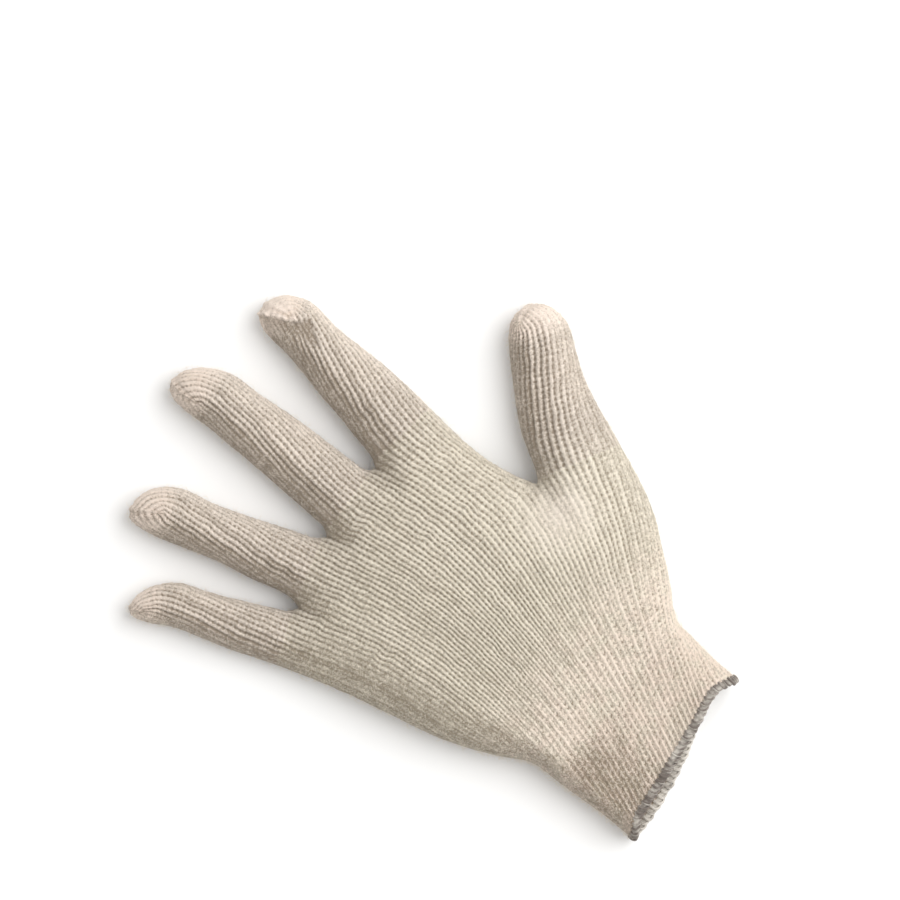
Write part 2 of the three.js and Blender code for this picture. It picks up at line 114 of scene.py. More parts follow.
# Form of each stall: share of its length, girth as a share of its width, side as a share of its length
FORMS = [
    [(0, 1, 0), (0.13, 0.98, 0), (0.33, 0.92, -0.006), (0.52, 0.84, -0.004), (0.72, 0.82, 0.002),
     (0.82, 0.82, -0.024), (0.91, 0.81, -0.055), (1, 0.8, -0.1)],
    [(0, 1, 0), (0.12, 0.97, 0.004), (0.27, 0.93, 0), (0.45, 0.84, 0.003), (0.6, 0.83, 0),
     (0.76, 0.88, 0.005), (0.9, 0.88, -0.014), (1, 0.88, -0.055)],
    [(0, 1, 0), (0.1, 0.985, 0), (0.25, 0.955, 0.004), (0.47, 0.9, 0.008), (0.62, 0.85, 0.004),
     (0.77, 0.83, 0.004), (0.9, 0.82, -0.022), (1, 0.81, -0.055)],
    [(0, 1, 0), (0.12, 0.985, 0), (0.28, 0.92, 0.003), (0.45, 0.85, -0.002), (0.62, 0.74, -0.005),
     (0.8, 0.73, -0.003), (1, 0.74, -0.045)],
    [(0, 1, 0), (0.12, 0.97, -0.014), (0.31, 0.91, -0.037), (0.5, 0.81, -0.034), (0.68, 0.753, -0.012),
     (0.8, 0.735, 0.006), (1, 0.72, 0.004)],
]

# Edges of the hand in plan: share of the way to the stall's outer corner, share of the way out to it
LITTLE_EDGE = [(0, 0), (0.1, 0.02), (0.2, 0.2), (0.3, 0.35), (0.42, 0.49), (0.6, 0.63), (0.8, 0.79), (1, 1)]
THUMB_EDGE = [(0, 0), (0.1, 0.11), (0.2, 0.26), (0.37, 0.46), (0.55, 0.67), (0.75, 0.84), (1, 1)]
HAND_HEIGHTS = [(0.2, 0.9), (0.45, 1.0), (0.72, 0.93)]

# End of the knit round the mouth: place across the width, then the back's and the palm side's reach
MOUTH_EDGE = [(0, -0.5, -0.5), (0.12, 0, -0.52), (0.3, 0.17, -0.38), (0.5, 0.4, 0), (0.68, 0.6, 0.45),
              (0.88, 0.85, 0.75), (1, 0.35, 0.35)]
WRIST_SEAMS = [0, 0.1, 0.33, 0.576, 0.822, 1]

# Wales by which the ribs have turned round the hand: share of its length, wales
WEB_TWIST = -2
HAND_TWIST = [(0, 8), (0.21, 2.7), (0.42, -0.3), (0.53, -1.6), (0.616, WEB_TWIST), (0.73, -1.8),
              (0.87, -1.0), (1, 0)]

# Place in plan inside the web where pulled yarn lies even and hides the wales, and its reach
WEB_EVEN = (43.0, 94.5)
WEB_EVEN_REACH = 14.5

# Fold over the closed end of the index finger: share of the width across, share of the length along
FOLDED = 3
TIP_FOLD = [(-0.34, 1.01), (-0.164, 0.907), (0.007, 0.811), (0.147, 0.778), (0.27, 0.794), (0.4, 0.86)]
FOLD_RISE = 1.25
FOLD_DROP = 1.3
FOLD_END = 5.5

# Fineness of the knitted meshes: columns to a wale and rows to a course
COLUMNS = 4
ROWS = 4

# Reach over which the elastic lets go of the hand, after its first stretch past the wrist
ELASTIC_FIRST = 6
ELASTIC_REACH = 46

# Distance over which a stall begins to turn, how far its knit is stretched at the round of the tip, and
# where the gathered yarn hides its end
TURN_START = 7
TIP_STRETCH = 1.05
GATHER_END = 11
GATHER_REACH = 7

# Seeds of the random draws: straying wales, uneven yarn, rough surface, loose fibres and repeated threads
STRAY_SEED = 23
YARN_SEED = 11
ROUGH_SEED = 5
FUZZ_SEED = 17
REPEAT_SEED = 4

# Millimetres in a metre
PER_METRE = 1000

# Height over the floor of the lowest stitches, of the inside of the wall and of the middle of the edging
STITCH_CLEAR = 0.02
INNER_CLEAR = 0.35
EDGING_CLEAR = 1.6

# Edging: depth of its middle in the wall, distance of its middle from the end of the knit, half its width,
# half its thickness and rail points from one loop to the next
WALL_MIDDLE = 0.9
EDGING_OFFSET = 0.6
EDGING_REACH = 1.6
EDGING_DEPTH = 0.9
LOOP_STEP = 4


class GloveKnit(bpy.types.PropertyGroup):
    """Sizes and colours of the knit"""
    course: bpy.props.FloatProperty(
        name="Course", description="Height of one row of stitches", default=0.0021,
        subtype="DISTANCE", unit="LENGTH")
    wall: bpy.props.FloatProperty(
        name="Wall", description="Thickness of the knitted wall", default=0.0018,
        subtype="DISTANCE", unit="LENGTH")
    groove: bpy.props.FloatProperty(
        name="Groove", description="Depth of the groove between two wales", default=0.00095,
        subtype="DISTANCE", unit="LENGTH")
    settle: bpy.props.IntProperty(
        name="Settle", description="Rounds of evening out between the tubes", default=36, min=0)
    ease: bpy.props.IntProperty(
        name="Ease", description="Rounds of sliding the stitches into even wales", default=300, min=0)
    wander: bpy.props.FloatProperty(
        name="Wander", description="How far the wales wander from an even run", default=0.00026,
        subtype="DISTANCE", unit="LENGTH")
    fibres: bpy.props.IntProperty(
        name="Fibres", description="Number of loose fibres", default=9000, min=1)
    ridge_colour: bpy.props.FloatVectorProperty(
        name="Yarn", description="Colour of the yarn where it stands out",
        default=(0.78, 0.715, 0.605), subtype="COLOR", size=3)
    # Painted shade: the yarn's colour as it looks shaded deep in the grooves and holes
    groove_shade_colour: bpy.props.FloatVectorProperty(
        name="Deep yarn", description="Colour of the yarn in the grooves",
        default=(0.27, 0.225, 0.165), subtype="COLOR", size=3)
    thread_colour: bpy.props.FloatVectorProperty(
        name="Edging", description="Colour of the edging thread",
        default=(0.15, 0.125, 0.108), subtype="COLOR", size=3)
    pale_thread_colour: bpy.props.FloatVectorProperty(
        name="Looper", description="Colour of the pale looper thread",
        default=(0.66, 0.62, 0.56), subtype="COLOR", size=3)


class GloveStage(bpy.types.PropertyGroup):
    """Camera, floor and light"""
    distance: bpy.props.FloatProperty(
        name="Camera height", description="Height of the camera over the floor", default=2.4,
        subtype="DISTANCE", unit="LENGTH")
    width: bpy.props.FloatProperty(
        name="View width", description="Width that the camera sees at the glove", default=0.34065,
        subtype="DISTANCE", unit="LENGTH")
    roll: bpy.props.FloatProperty(
        name="Roll", description="Turn of the picture against the hand",
        default=math.radians(-51.66), subtype="ANGLE", unit="ROTATION")
    centre: bpy.props.FloatVectorProperty(
        name="Aim", description="Point in the middle of the picture",
        default=(0.0285, 0.0261), subtype="XYZ", size=2)
    floor_colour: bpy.props.FloatVectorProperty(
        name="Floor", description="Colour of the floor",
        default=(0.95, 0.95, 0.95), subtype="COLOR", size=3)


def smooth(t):
    t = np.clip(t, 0, 1)
    return t * t * (3 - 2 * t)


def mix(a, b, t):
    return a + (b - a) * t


def unit(v):
    return v / np.maximum(np.linalg.norm(v, axis=-1, keepdims=True), 1e-12)


def heading(degrees):
    angle = math.radians(degrees)
    return np.array([math.sin(angle), math.cos(angle)])


def read_table(places, values, t):
    """Smooth curve through the rows of a table. values holds one row for each place."""
    x = np.asarray(places, float)
    y = np.asarray(values, float)
    if y.ndim == 1:
        y = np.broadcast_to(y.reshape((-1,) + (1,) * np.ndim(t)), (len(x),) + np.shape(t))
    i = np.searchsorted(x[1:-1], t, side="left")
    last = len(x) - 1

    def at(n):
        return np.take_along_axis(y, n[None], 0)[0]

    before, after = np.maximum(i - 1, 0), np.minimum(i + 2, last)
    step = x[i + 1] - x[i]
    start = (at(i + 1) - at(before)) / (x[i + 1] - x[before]) * step
    end = (at(after) - at(i)) / (x[after] - x[i]) * step
    s = np.clip((t - x[i]) / step, 0, 1)
    rise = at(i + 1) - at(i)
    return at(i) + s * start + s * s * (3 * rise - 2 * start - end) + s ** 3 * (start + end - 2 * rise)


def column(rows, place, value, t):
    return read_table([row[place] for row in rows], [row[value] for row in rows], np.asarray(t, float))


def curve_between(start, leaving, end, arriving, t):
    t = np.asarray(t, float)[..., None]
    reach = np.linalg.norm(end - start)
    return (start * (2 * t ** 3 - 3 * t ** 2 + 1) + leaving * reach * (t ** 3 - 2 * t ** 2 + t)
            + end * (3 * t ** 2 - 2 * t ** 3) + arriving * reach * (t ** 3 - t ** 2))


def lay_out_stalls():
    """Roots, directions and outer corners of the stalls, side by side from the middle finger."""
    stalls = []
    for share in SHARES:
        kind = share["kind"]
        length = share["length"] * kind["length"]
        stalls.append({**share, "width": share["width"] * kind["width"], "length": length,
                       "thickness": share["thickness"] * kind["thickness"], "tip": share["tip"] * length,
                       "run": heading(share["splay"]), "across": heading(share["splay"] + 90)})

    def beside(neighbour, stall, side):
        root = neighbour["root"] + neighbour["across"] * side * neighbour["width"] / 2
        root = root + unit(neighbour["across"] + stall["across"]) * side * STALL_SPACING
        root = root + stall["across"] * side * stall["width"] / 2
        return root + stall["run"] * stall["forward"] * HAND_LENGTH

    stalls[MIDDLE]["root"] = np.array([MIDDLE_OFFSET, CUFF_LENGTH + HAND_LENGTH])
    for k in (1, 0):
        stalls[k]["root"] = beside(stalls[k + 1], stalls[k], -1)
    stalls[3]["root"] = beside(stalls[2], stalls[3], 1)
    stalls[THUMB]["root"] = np.array([THUMB_ROOT_X, CUFF_LENGTH + THUMB_ROOT_Y])
    for stall in stalls:
        stall["corners"] = [stall["root"] + stall["across"] * hand * stall["width"] / 2 for hand in (-1, 1)]
    return stalls


STALLS = lay_out_stalls()
CROTCHES = [(STALLS[k]["corners"][1] + STALLS[k + 1]["corners"][0]) / 2 for k in range(THUMB - 1)]
WEB = STALLS[THUMB]["corners"][0] - STALLS[THUMB]["across"] * WEB_SPACING / 2
STARTS = [[STALLS[0]["corners"][0], CROTCHES[0]], [CROTCHES[0], CROTCHES[1]], [CROTCHES[1], CROTCHES[2]],
          [CROTCHES[2], STALLS[3]["corners"][1]], [WEB, STALLS[THUMB]["corners"][1]]]
SEAMS = [0]
for stall in STALLS:
    SEAMS.append(SEAMS[-1] + stall["wales"])
WALES = SEAMS[-1]
HAND_WALES = SEAMS[THUMB]
WEB_SHARE = (THUMB_ROOT_Y + WEB_RISE) / HAND_LENGTH


def edge_point(table, wrist, end, t):
    out = column(table, 0, 1, t)
    return np.stack([mix(wrist[0], end[0], out), mix(wrist[1], end[1], t)], -1)


def seam_point(k, q):
    """Seam k of the hand in plan at a share q of the way from the wrist to the stalls."""
    q = np.asarray(q, float)
    wrist = np.array([WRIST_SWING + (WRIST_SEAMS[k] - 0.5) * WRIST_WIDTH, CUFF_LENGTH])
    if k == 0:
        return edge_point(LITTLE_EDGE, wrist, STALLS[0]["corners"][0], q)
    if k > THUMB:
        return edge_point(THUMB_EDGE, wrist, STALLS[THUMB]["corners"][1], q / WEB_SHARE)
    arriving = unit(STALLS[k - 1]["run"] + STALLS[k]["run"])
    if k < THUMB:
        return curve_between(wrist, heading(0), CROTCHES[k - 1], arriving, q)
    low = curve_between(wrist, heading(0), WEB, arriving, np.minimum(q / WEB_SHARE, 1))
    t = np.clip((q - WEB_SHARE) / (1 - WEB_SHARE), 0, 1)
    high = curve_between(WEB, heading(WEB_LEAN), STALLS[3]["corners"][1], STALLS[3]["run"], t)
    return np.where((q > WEB_SHARE)[..., None], high, low)


def seam_closed(k, q):
    if k == 0 or k > THUMB:
        return np.ones_like(q)
    if k < THUMB:
        return np.clip(1 - (1 - q) * HAND_LENGTH / CROTCH_DEPTH, 0, 1)
    return np.clip(1 - (WEB_SHARE - q) * HAND_LENGTH / WEB_DEPTH, 0, 1)


def knuckle_height(w):
    middles = [(SEAMS[k] + SEAMS[k + 1]) / 2 for k in range(THUMB)]
    height = np.full(np.shape(w), STALLS[0]["thickness"])
    for k in range(THUMB - 1):
        share = smooth((w - middles[k]) / (middles[k + 1] - middles[k]))
        height = height + (STALLS[k + 1]["thickness"] - STALLS[k]["thickness"]) * share
    return height


def hand_height(w, q):
    w, q = np.broadcast_arrays(np.asarray(w, float), np.asarray(q, float))
    aside = 2 * w / WALES - 1
    fall = 1 - EDGE_DROP * aside ** 2 * smooth(q / HAND_HEIGHTS[0][0])
    rows = [np.full(q.shape, WRIST_HEIGHT)] + [np.full(q.shape, h * PALM_HEIGHT) for _, h in HAND_HEIGHTS]
    rows.append(knuckle_height(w) / fall)
    return read_table([0] + [place for place, _ in HAND_HEIGHTS] + [1], rows, q) * fall


def section_point(left, right, closed, u, height, up):
    start, end = -np.arcsin(closed[0]), np.arcsin(closed[1])
    angle = mix(start, end, u)
    spread = np.sin(end) - np.sin(start)
    share = np.where(spread > 1e-9, (np.sin(angle) - np.sin(start)) / np.maximum(spread, 1e-9), u)
    z = height * (1 - CROWN) + up * height * CROWN * np.cos(angle)
    plan = mix(left, right, share[..., None])
    return np.concatenate([plan, np.maximum(z, 0)[..., None]], -1)


def by_strip(ring, top, at_strip):
    """Calls at_strip(k, u, up, mask) for each strip of a closed ring of wales whose back ends at top."""
    ring = np.mod(ring, 2 * top)
    up = np.where(ring <= top, 1.0, -1.0)
    wale = np.where(ring <= top, ring, 2 * top - ring)
    points = np.zeros(ring.shape + (3,))
    strip = np.clip(np.searchsorted(SEAMS[1:], wale, side="left"), 0, len(SEAMS) - 2)
    for k in np.unique(strip):
        mask = strip == k
        points[mask] = at_strip(int(k), (wale[mask] - SEAMS[k]) / STALLS[k]["wales"], up[mask], mask)
    return points


def hand_at(ring, q, top):
    def at_strip(k, u, up, mask):
        height = hand_height(SEAMS[k] + u * STALLS[k]["wales"], q[mask])
        closed = [seam_closed(k, q[mask]), seam_closed(k + 1, q[mask])]
        return section_point(seam_point(k, q[mask]), seam_point(k + 1, q[mask]), closed, u, height, up)

    return by_strip(ring, top, at_strip)


def mouth_line(x, rise):
    place = x / CUFF_WIDTH + 0.5
    return MOUTH_REACH * mix(column(MOUTH_EDGE, 0, 2, place), column(MOUTH_EDGE, 0, 1, place), rise)


def cuff_at(ring, t):
    drawn = smooth(t / MOUTH_START)
    width = mix(WRIST_WIDTH, CUFF_WIDTH, drawn)
    flared = smooth((t - MOUTH_START) / (1 - MOUTH_START))
    height = mix(mix(WRIST_HEIGHT, CUFF_HEIGHT, drawn), MOUTH_HEIGHT, flared)
    middle = mix(WRIST_SWING, 0, t)

    def at_strip(k, u, up, mask):
        sides = [np.stack([middle[mask] + (WRIST_SEAMS[i] - 0.5) * width[mask], 0 * t[mask]], -1)
                 for i in (k, k + 1)]
        closed = [np.full(u.shape, float(k == 0)), np.full(u.shape, float(k == THUMB))]
        return section_point(sides[0], sides[1], closed, u, height[mask], up)

    points = by_strip(ring, WALES, at_strip)
    end = OVERLOCK_WIDTH * 0.6 + mouth_line(points[..., 0], points[..., 2] / height)
    points[..., 1] = mix(CUFF_LENGTH, end, t)
    return points


def stall_at(k, ring, d):
    """A point of stall k at distance d from its root, before its rounded end."""
    stall = STALLS[k]
    wales = stall["wales"]
    ring = np.mod(ring, 2 * wales)
    up = np.where(ring <= wales, 1.0, -1.0)
    u = np.where(ring <= wales, ring, 2 * wales - ring) / wales
    t = d / stall["length"]
    girth = stall["width"] / 2 * column(FORMS[k], 0, 1, t)
    side = stall["length"] * column(FORMS[k], 0, 2, t)
    radius = WEB_RADIUS if k == THUMB else CROTCH_RADIUS
    flare = 1 - np.sqrt(1 - (1 - np.clip(d / radius, 0, 1)) ** 2)
    edges = []
    for i, hand in enumerate((-1, 1)):
        edge = stall["root"] + stall["run"] * d[..., None]
        edge = edge + stall["across"] * (side + hand * girth)[..., None]
        edges.append(edge + (STARTS[k][i] - stall["corners"][i]) * flare[..., None])
    root_height = hand_height(SEAMS[k] + u * wales, np.full(u.shape, WEB_SHARE if k == THUMB else 1.0))
    height = mix(root_height, stall["thickness"], smooth(d / STALL_BLEND))
    ones = np.ones_like(u)
    return section_point(edges[0], edges[1], [ones, ones], u, height, up)


def tip_at(k, label, s):
    """A point of the rounded end. label counts wales round from one end of the closing line, and s runs from
    the start of the round, 0, to the closing line, 1."""
    stall = STALLS[k]
    swing = math.radians(stall["turn"])
    around = np.pi * label / stall["wales"]
    seat = around + swing
    start = np.stack([-np.cos(seat), np.sin(seat), np.zeros_like(seat)], -1)
    line = np.array([-math.cos(swing), math.sin(swing), 0.0])
    reach = math.sqrt(1 - stall["ear"] ** 2)
    along = np.cos(around) * reach
    tip = np.array([0.0, 0.0, 1.0])
    end_rise = np.sqrt(1 - along ** 2)
    end = line * along[..., None] + tip * end_rise[..., None]
    pull = 0.72 * (start + tip * end_rise[..., None])
    s = s[..., None]
    way = unit((1 - s) ** 2 * start + 2 * s * (1 - s) * pull + s ** 2 * end)
    d = stall["length"] - stall["tip"] * (1 - way[..., 2])
    t = d / stall["length"]
    girth = stall["width"] / 2 * column(FORMS[k], 0, 1, t) * way[..., 0]
    side = stall["length"] * column(FORMS[k], 0, 2, t)
    plan = stall["root"] + stall["run"] * d[..., None] + stall["across"] * (side + girth)[..., None]
    height = stall["thickness"]
    z = height * (1 - CROWN) + height * CROWN * way[..., 1]
    return np.concatenate([plan, np.maximum(z, 0)[..., None]], -1)


class Knit:
    """The whole glove as one welded sheet of rings of stitches. Each block is a grid of corner numbers."""

    def __init__(self, course):
        self.course = course
        self.points = []
        self.count = 0
        self.blocks = {}
        self.cuff_block()
        self.hand_blocks()
        for k in range(len(STALLS)):
            self.stall_block(k)
        self.base = np.concatenate(self.points)
        del self.points

    def add(self, points):
        ids = self.count + np.arange(points.shape[0] * points.shape[1]).reshape(points.shape[:2])
        self.points.append(points.reshape(-1, 3))
        self.count += ids.size
        return ids

    def block(self, name, ids, course0, fade=(0.0, 0.0), **stall):
        """fade is how far elastic draws the first and the last course in."""
        self.blocks[name] = {"ids": ids, "course0": course0, "fade": fade, **stall}

    def rows_of(self, wales, length):
        """Number of rows in a length, with the share of it that each reaches and its wale at each column."""
        n = max(2, int(round(length / self.course))) * ROWS
        share, label = np.broadcast_arrays(np.arange(1, n + 1)[:, None] / n,
                                           np.arange(2 * wales * COLUMNS)[None] / COLUMNS)
        return n, share, label

    def cuff_block(self):
        n, t, label = self.rows_of(WALES, CUFF_LENGTH - OVERLOCK_WIDTH)
        t, label = 1 - np.vstack([0 * t[:1], t]), np.vstack([label[:1], label])
        first = HAND_TWIST[0][1]
        ids = self.add(cuff_at(label - first - RIB_LEAN * t, t))
        self.block("cuff", ids, -n // ROWS, (1, 1))
        self.wrist = ids[-1]

    def hand_blocks(self):
        n, q, label = self.rows_of(WALES, WEB_SHARE * HAND_LENGTH)
        q = WEB_SHARE * q
        rows = self.add(hand_at(label - column(HAND_TWIST, 0, 1, q), q, WALES))
        ids = np.vstack([self.wrist[None], rows])
        back = (HAND_WALES + WEB_TWIST) * COLUMNS
        front = (2 * WALES - HAND_WALES + WEB_TWIST) * COLUMNS
        last = ids[-1].copy()
        last[front] = last[back]
        ids[-1] = last
        self.block("heel", ids, 0, (1, 0))
        turned = np.roll(last, -WEB_TWIST * COLUMNS)
        hand = HAND_WALES * COLUMNS
        whole = 2 * WALES * COLUMNS
        self.thumb_row = turned[hand:whole - hand]
        ring = np.concatenate([turned[:hand], turned[whole - hand:]])
        m, q, label = self.rows_of(HAND_WALES, (1 - WEB_SHARE) * HAND_LENGTH)
        q = mix(WEB_SHARE, 1, q)
        ring = np.roll(ring, WEB_TWIST * COLUMNS)
        rows = self.add(hand_at(label - column(HAND_TWIST, 0, 1, q), q, HAND_WALES))
        ids = np.vstack([ring[None], rows])
        last = ids[-1].copy()
        for seam in SEAMS[1:THUMB]:
            last[(2 * HAND_WALES - seam) * COLUMNS] = last[seam * COLUMNS]
        ids[-1] = last
        self.block("knuckles", ids, n // ROWS)
        self.root_rows = []
        for k in range(THUMB):
            a, b = SEAMS[k] * COLUMNS, SEAMS[k + 1] * COLUMNS
            end = 2 * HAND_WALES * COLUMNS
            palm = np.roll(last, -(end - b))[:b - a] if k < THUMB - 1 else last[end - b:end - a]
            self.root_rows.append((np.concatenate([last[a:b], palm]), (n + m) // ROWS))
        self.root_rows.append((self.thumb_row, n // ROWS))

    def stall_block(self, k):
        stall = STALLS[k]
        root, course0 = self.root_rows[k]
        shaft = stall["length"] - stall["tip"]
        d, around = self.rows_of(stall["wales"], shaft)[1:]
        d = shaft * d
        eased = [x - TURN_START * (1 - np.exp(-x / TURN_START)) for x in (d, shaft)]
        turned = stall["turn"] / 180 * stall["wales"] * (eased[0] / eased[1])
        rows = self.add(stall_at(k, around + turned, d))
        m, s, around = self.rows_of(stall["wales"], stall["tip"] * TIP_STRETCH)
        tip = self.add(tip_at(k, around, s))
        half = stall["wales"] * COLUMNS
        tip[-1, half + 1:] = tip[-1, 1:half][::-1]
        self.block(stall["name"], np.vstack([root[None], rows, tip]), course0, stall=stall, tip_rows=m)

    def triangles(self, name):
        """Corner numbers and stitch coordinates of a block. Each quad is cut along the leg of its stitch."""
        block = self.blocks[name]
        ids = block["ids"]
        rows, columns = ids.shape
        j, i = cells(rows - 1, columns)
        corners = [(j, i), (j, i + 1), (j + 1, i + 1), (j + 1, i)]
        a, b, c, e = [np.stack([ids[r, q % columns], r, q], -1) for r, q in corners]
        left = ((i % COLUMNS) < COLUMNS / 2)[:, None, None]
        falling = np.stack([np.stack([a, b, e], 1), np.stack([b, c, e], 1)], 1)
        rising = np.stack([np.stack([a, b, c], 1), np.stack([a, c, e], 1)], 1)
        tris = np.where(left[..., None], falling, rising).reshape(-1, 3, 3)
        tris = tris[has_area(tris[..., 0])]
        return tris[..., 0], np.stack([tris[..., 2] / COLUMNS, tris[..., 1] / ROWS + block["course0"]], -1)


def cells(rows, columns):
    """Row and column numbers of all cells of a grid."""
    return [part.ravel() for part in np.meshgrid(np.arange(rows), np.arange(columns), indexing="ij")]


def has_area(tris):
    """False for a triangle that names a corner twice, as at a closed tip."""
    return (tris[:, 0] != tris[:, 1]) & (tris[:, 1] != tris[:, 2]) & (tris[:, 2] != tris[:, 0])


def vertex_normals(points, tris):
    a, b, c = (points[tris[:, n]] for n in range(3))
    face = np.cross(b - a, c - a)
    total = np.zeros_like(points)
    for axis in range(3):
        for n in range(3):
            total[:, axis] += np.bincount(tris[:, n], face[:, axis], len(points))
    return unit(total)


def mean_of_neighbours(owner, neighbours, many):
    total = [np.bincount(owner, neighbours[:, axis], len(many)) for axis in range(3)]
    return np.stack(total, -1) / many[:, None]


def settle(points, tris, rounds, fixed):
    """Evens the sheet out, as the knit does between two tubes that meet."""
    edges = np.concatenate([tris[:, [0, 1]], tris[:, [1, 2]], tris[:, [2, 0]]])
    edges = np.unique(np.sort(edges, 1), axis=0)
    a, b = np.concatenate([edges, edges[:, ::-1]]).T
    many = np.maximum(np.bincount(a, minlength=len(points)), 1)
    free = np.ones(len(points))
    free[fixed] = 0
    for _ in range(rounds):
        mean = mean_of_neighbours(a, points[b], many)
        points = points + (mean - points) * 0.5 * free[:, None]
    return points


def nearest(surface, points):
    """The points moved onto the sheet, and the sheet's normals there."""
    found = [surface.find_nearest(Vector(p))[:2] for p in points]
    return np.array([spot[:] for spot, _ in found]), np.array([normal[:] for _, normal in found])


def spread(grid, rows, columns, step=1, ease=np.asarray):
    """Values of every row and column from those of a coarse grid that closes round, step courses apart."""
    j, i = np.arange(rows) / (ROWS * step), np.arange(columns) / COLUMNS
    j0, i0 = np.minimum(j.astype(int), len(grid) - 2), i.astype(int)
    v, u = ease(j - j0)[:, None, None], ease(i - i0)[None, :, None]
    i1 = (i0 + 1) % grid.shape[1]
    low = mix(grid[j0][:, i0], grid[j0][:, i1], u)
    high = mix(grid[j0 + 1][:, i0], grid[j0 + 1][:, i1], u)
    return mix(low, high, v)


def ease_wales(blocks, points, tris, rounds):
    """Slides the stitches along the sheet until the wales run in even curves past the roots of the tubes."""
    surface = BVHTree.FromPolygons(points.tolist(), tris.tolist())
    grids = {name: block["ids"][::ROWS, ::COLUMNS] for name, block in blocks.items()}
    edges = []
    for grid in grids.values():
        edges.append(np.stack([grid[:-1].ravel(), grid[1:].ravel()], -1))
        edges.append(np.stack([grid.ravel(), np.roll(grid, -1, 1).ravel()], -1))
    edges = np.unique(np.sort(np.concatenate(edges), 1), axis=0)
    edges = edges[edges[:, 0] != edges[:, 1]]
    used = np.unique(edges)
    row = np.zeros(len(points), int)
    row[used] = np.arange(len(used))
    a, b = row[np.concatenate([edges, edges[:, ::-1]]).T]
    many = np.bincount(a, minlength=len(used))
    free = np.ones(len(used))
    for name, grid in grids.items():
        if "stall" in blocks[name]:
            from_end = len(grid) - 1 - np.arange(len(grid))
            free[row[grid]] = smooth((from_end - 3) * ROWS / blocks[name]["tip_rows"])[:, None] ** 2
    free[row[grids["cuff"]]] = smooth(np.arange(len(grids["cuff"])) / 4)[:, None]
    free[many > 4] = 0
    spot, normal = nearest(surface, points[used])
    for turn in range(rounds):
        step = (mean_of_neighbours(a, spot[b], many) - spot) * 0.5 * free[:, None]
        spot = spot + step - normal * (step * normal).sum(-1, keepdims=True)
        if turn % 10 == 9:
            spot, normal = nearest(surface, spot)
    moved = spot - points[used]
    slid = points.copy()
    for name, grid in grids.items():
        ids = blocks[name]["ids"]
        slid[ids] = points[ids] + spread(moved[row[grid]], *ids.shape)
    return nearest(surface, slid)[0]


def stray(blocks, points, reach, seed):
    """Lets the wales and courses stray a little, as hand-pulled yarn does."""
    rng = np.random.default_rng(seed)
    strayed = points.copy()
    for block in blocks.values():
        ids = block["ids"]
        rows, columns = ids.shape
        grid = rng.normal(0, 1, (rows // (ROWS * 2) + 3, columns // COLUMNS, 2))
        grid = grid * 0.75 + 0.45 * np.roll(grid, 1, 1) + 0.45 * np.roll(grid, -1, 1)
        shift = spread(grid, rows, columns, 2, smooth)
        from_end = np.minimum(np.arange(rows), rows - 1 - np.arange(rows))
        loose = 1 - 0.7 * mix(*block["fade"], np.arange(rows) / (rows - 1))
        free = (smooth(from_end / (ROWS * 3)) * loose)[:, None, None]
        across = unit(np.roll(points[ids], -1, 1) - np.roll(points[ids], 1, 1))
        ahead = unit(np.roll(points[ids], -1, 0) - np.roll(points[ids], 1, 0))
        strayed[ids] = points[ids] + (across * shift[..., :1] + ahead * shift[..., 1:] * 0.8) * reach * free
    return strayed


def tip_fold(stall, points, normals):
    """The bumpy crest of the fold at the end of a stall and the sunk face under it, 0 to 1 each."""
    away = points[:, :2] - stall["root"]
    along, across = away @ stall["run"], away @ stall["across"]
    under = 0.7 * (column(TIP_FOLD, 0, 1, across / stall["width"]) * stall["length"] - along)
    bumps = 0.75 + 0.42 * np.sin(across * 2.1 + 1.5 * np.sin(across * 1.1))
    crest = np.exp(-((under + 0.9) / 1.1) ** 2) * bumps
    beside = across - FOLD_END + under * 0.6
    sunk = smooth(under / 0.7) * (1 - smooth((under - 4) / 9)) * (1 - smooth((beside + 0.5) / 1.5))
    seen = smooth(normals[:, 2] / 0.35)
    return crest * seen, sunk * seen


def stitch_relief(wale, course, rib, seed):
    """Height of the yarn over the sheet, and how far out of the groove it stands, 0 to 1. rib is 0 for plain
    knit and 1 where elastic draws every second wale in."""
    across = np.mod(wale, 1)
    aside = np.abs(2 * across - 1)
    phase = np.mod(course - 0.5 * aside, 1)
    loop = np.sin(np.pi * phase)
    crest = np.interp(aside, [0, 0.5, 1], [1, 0.66, 0])
    rng = np.random.default_rng(seed)
    thick = rng.normal(0, 1, (64, 160))
    column_index = np.mod(np.floor(wale + 1e-6).astype(int), 160)
    row_index = np.mod(np.floor(course - 0.5 * aside + 1e-6).astype(int), 64)
    varied = thick[row_index, column_index]
    along_wale = rng.normal(0, 1, 160)[column_index]
    out = crest * (0.89 + 0.11 * loop) * (1 + 0.12 * varied + 0.08 * along_wale)
    gap = (1 - crest) * np.sin(np.pi * np.mod(course + 0.25, 1))
    out = out - 0.3 * gap
    pair = np.mod(wale, 2)
    drawn = smooth(np.clip(1.35 - 2.0 * np.abs(pair - 0.5), 0, 1))
    lowered = (1 - drawn) * rib
    return mix(out, 0.14 * out + 0.68, rib) - 0.42 * lowered


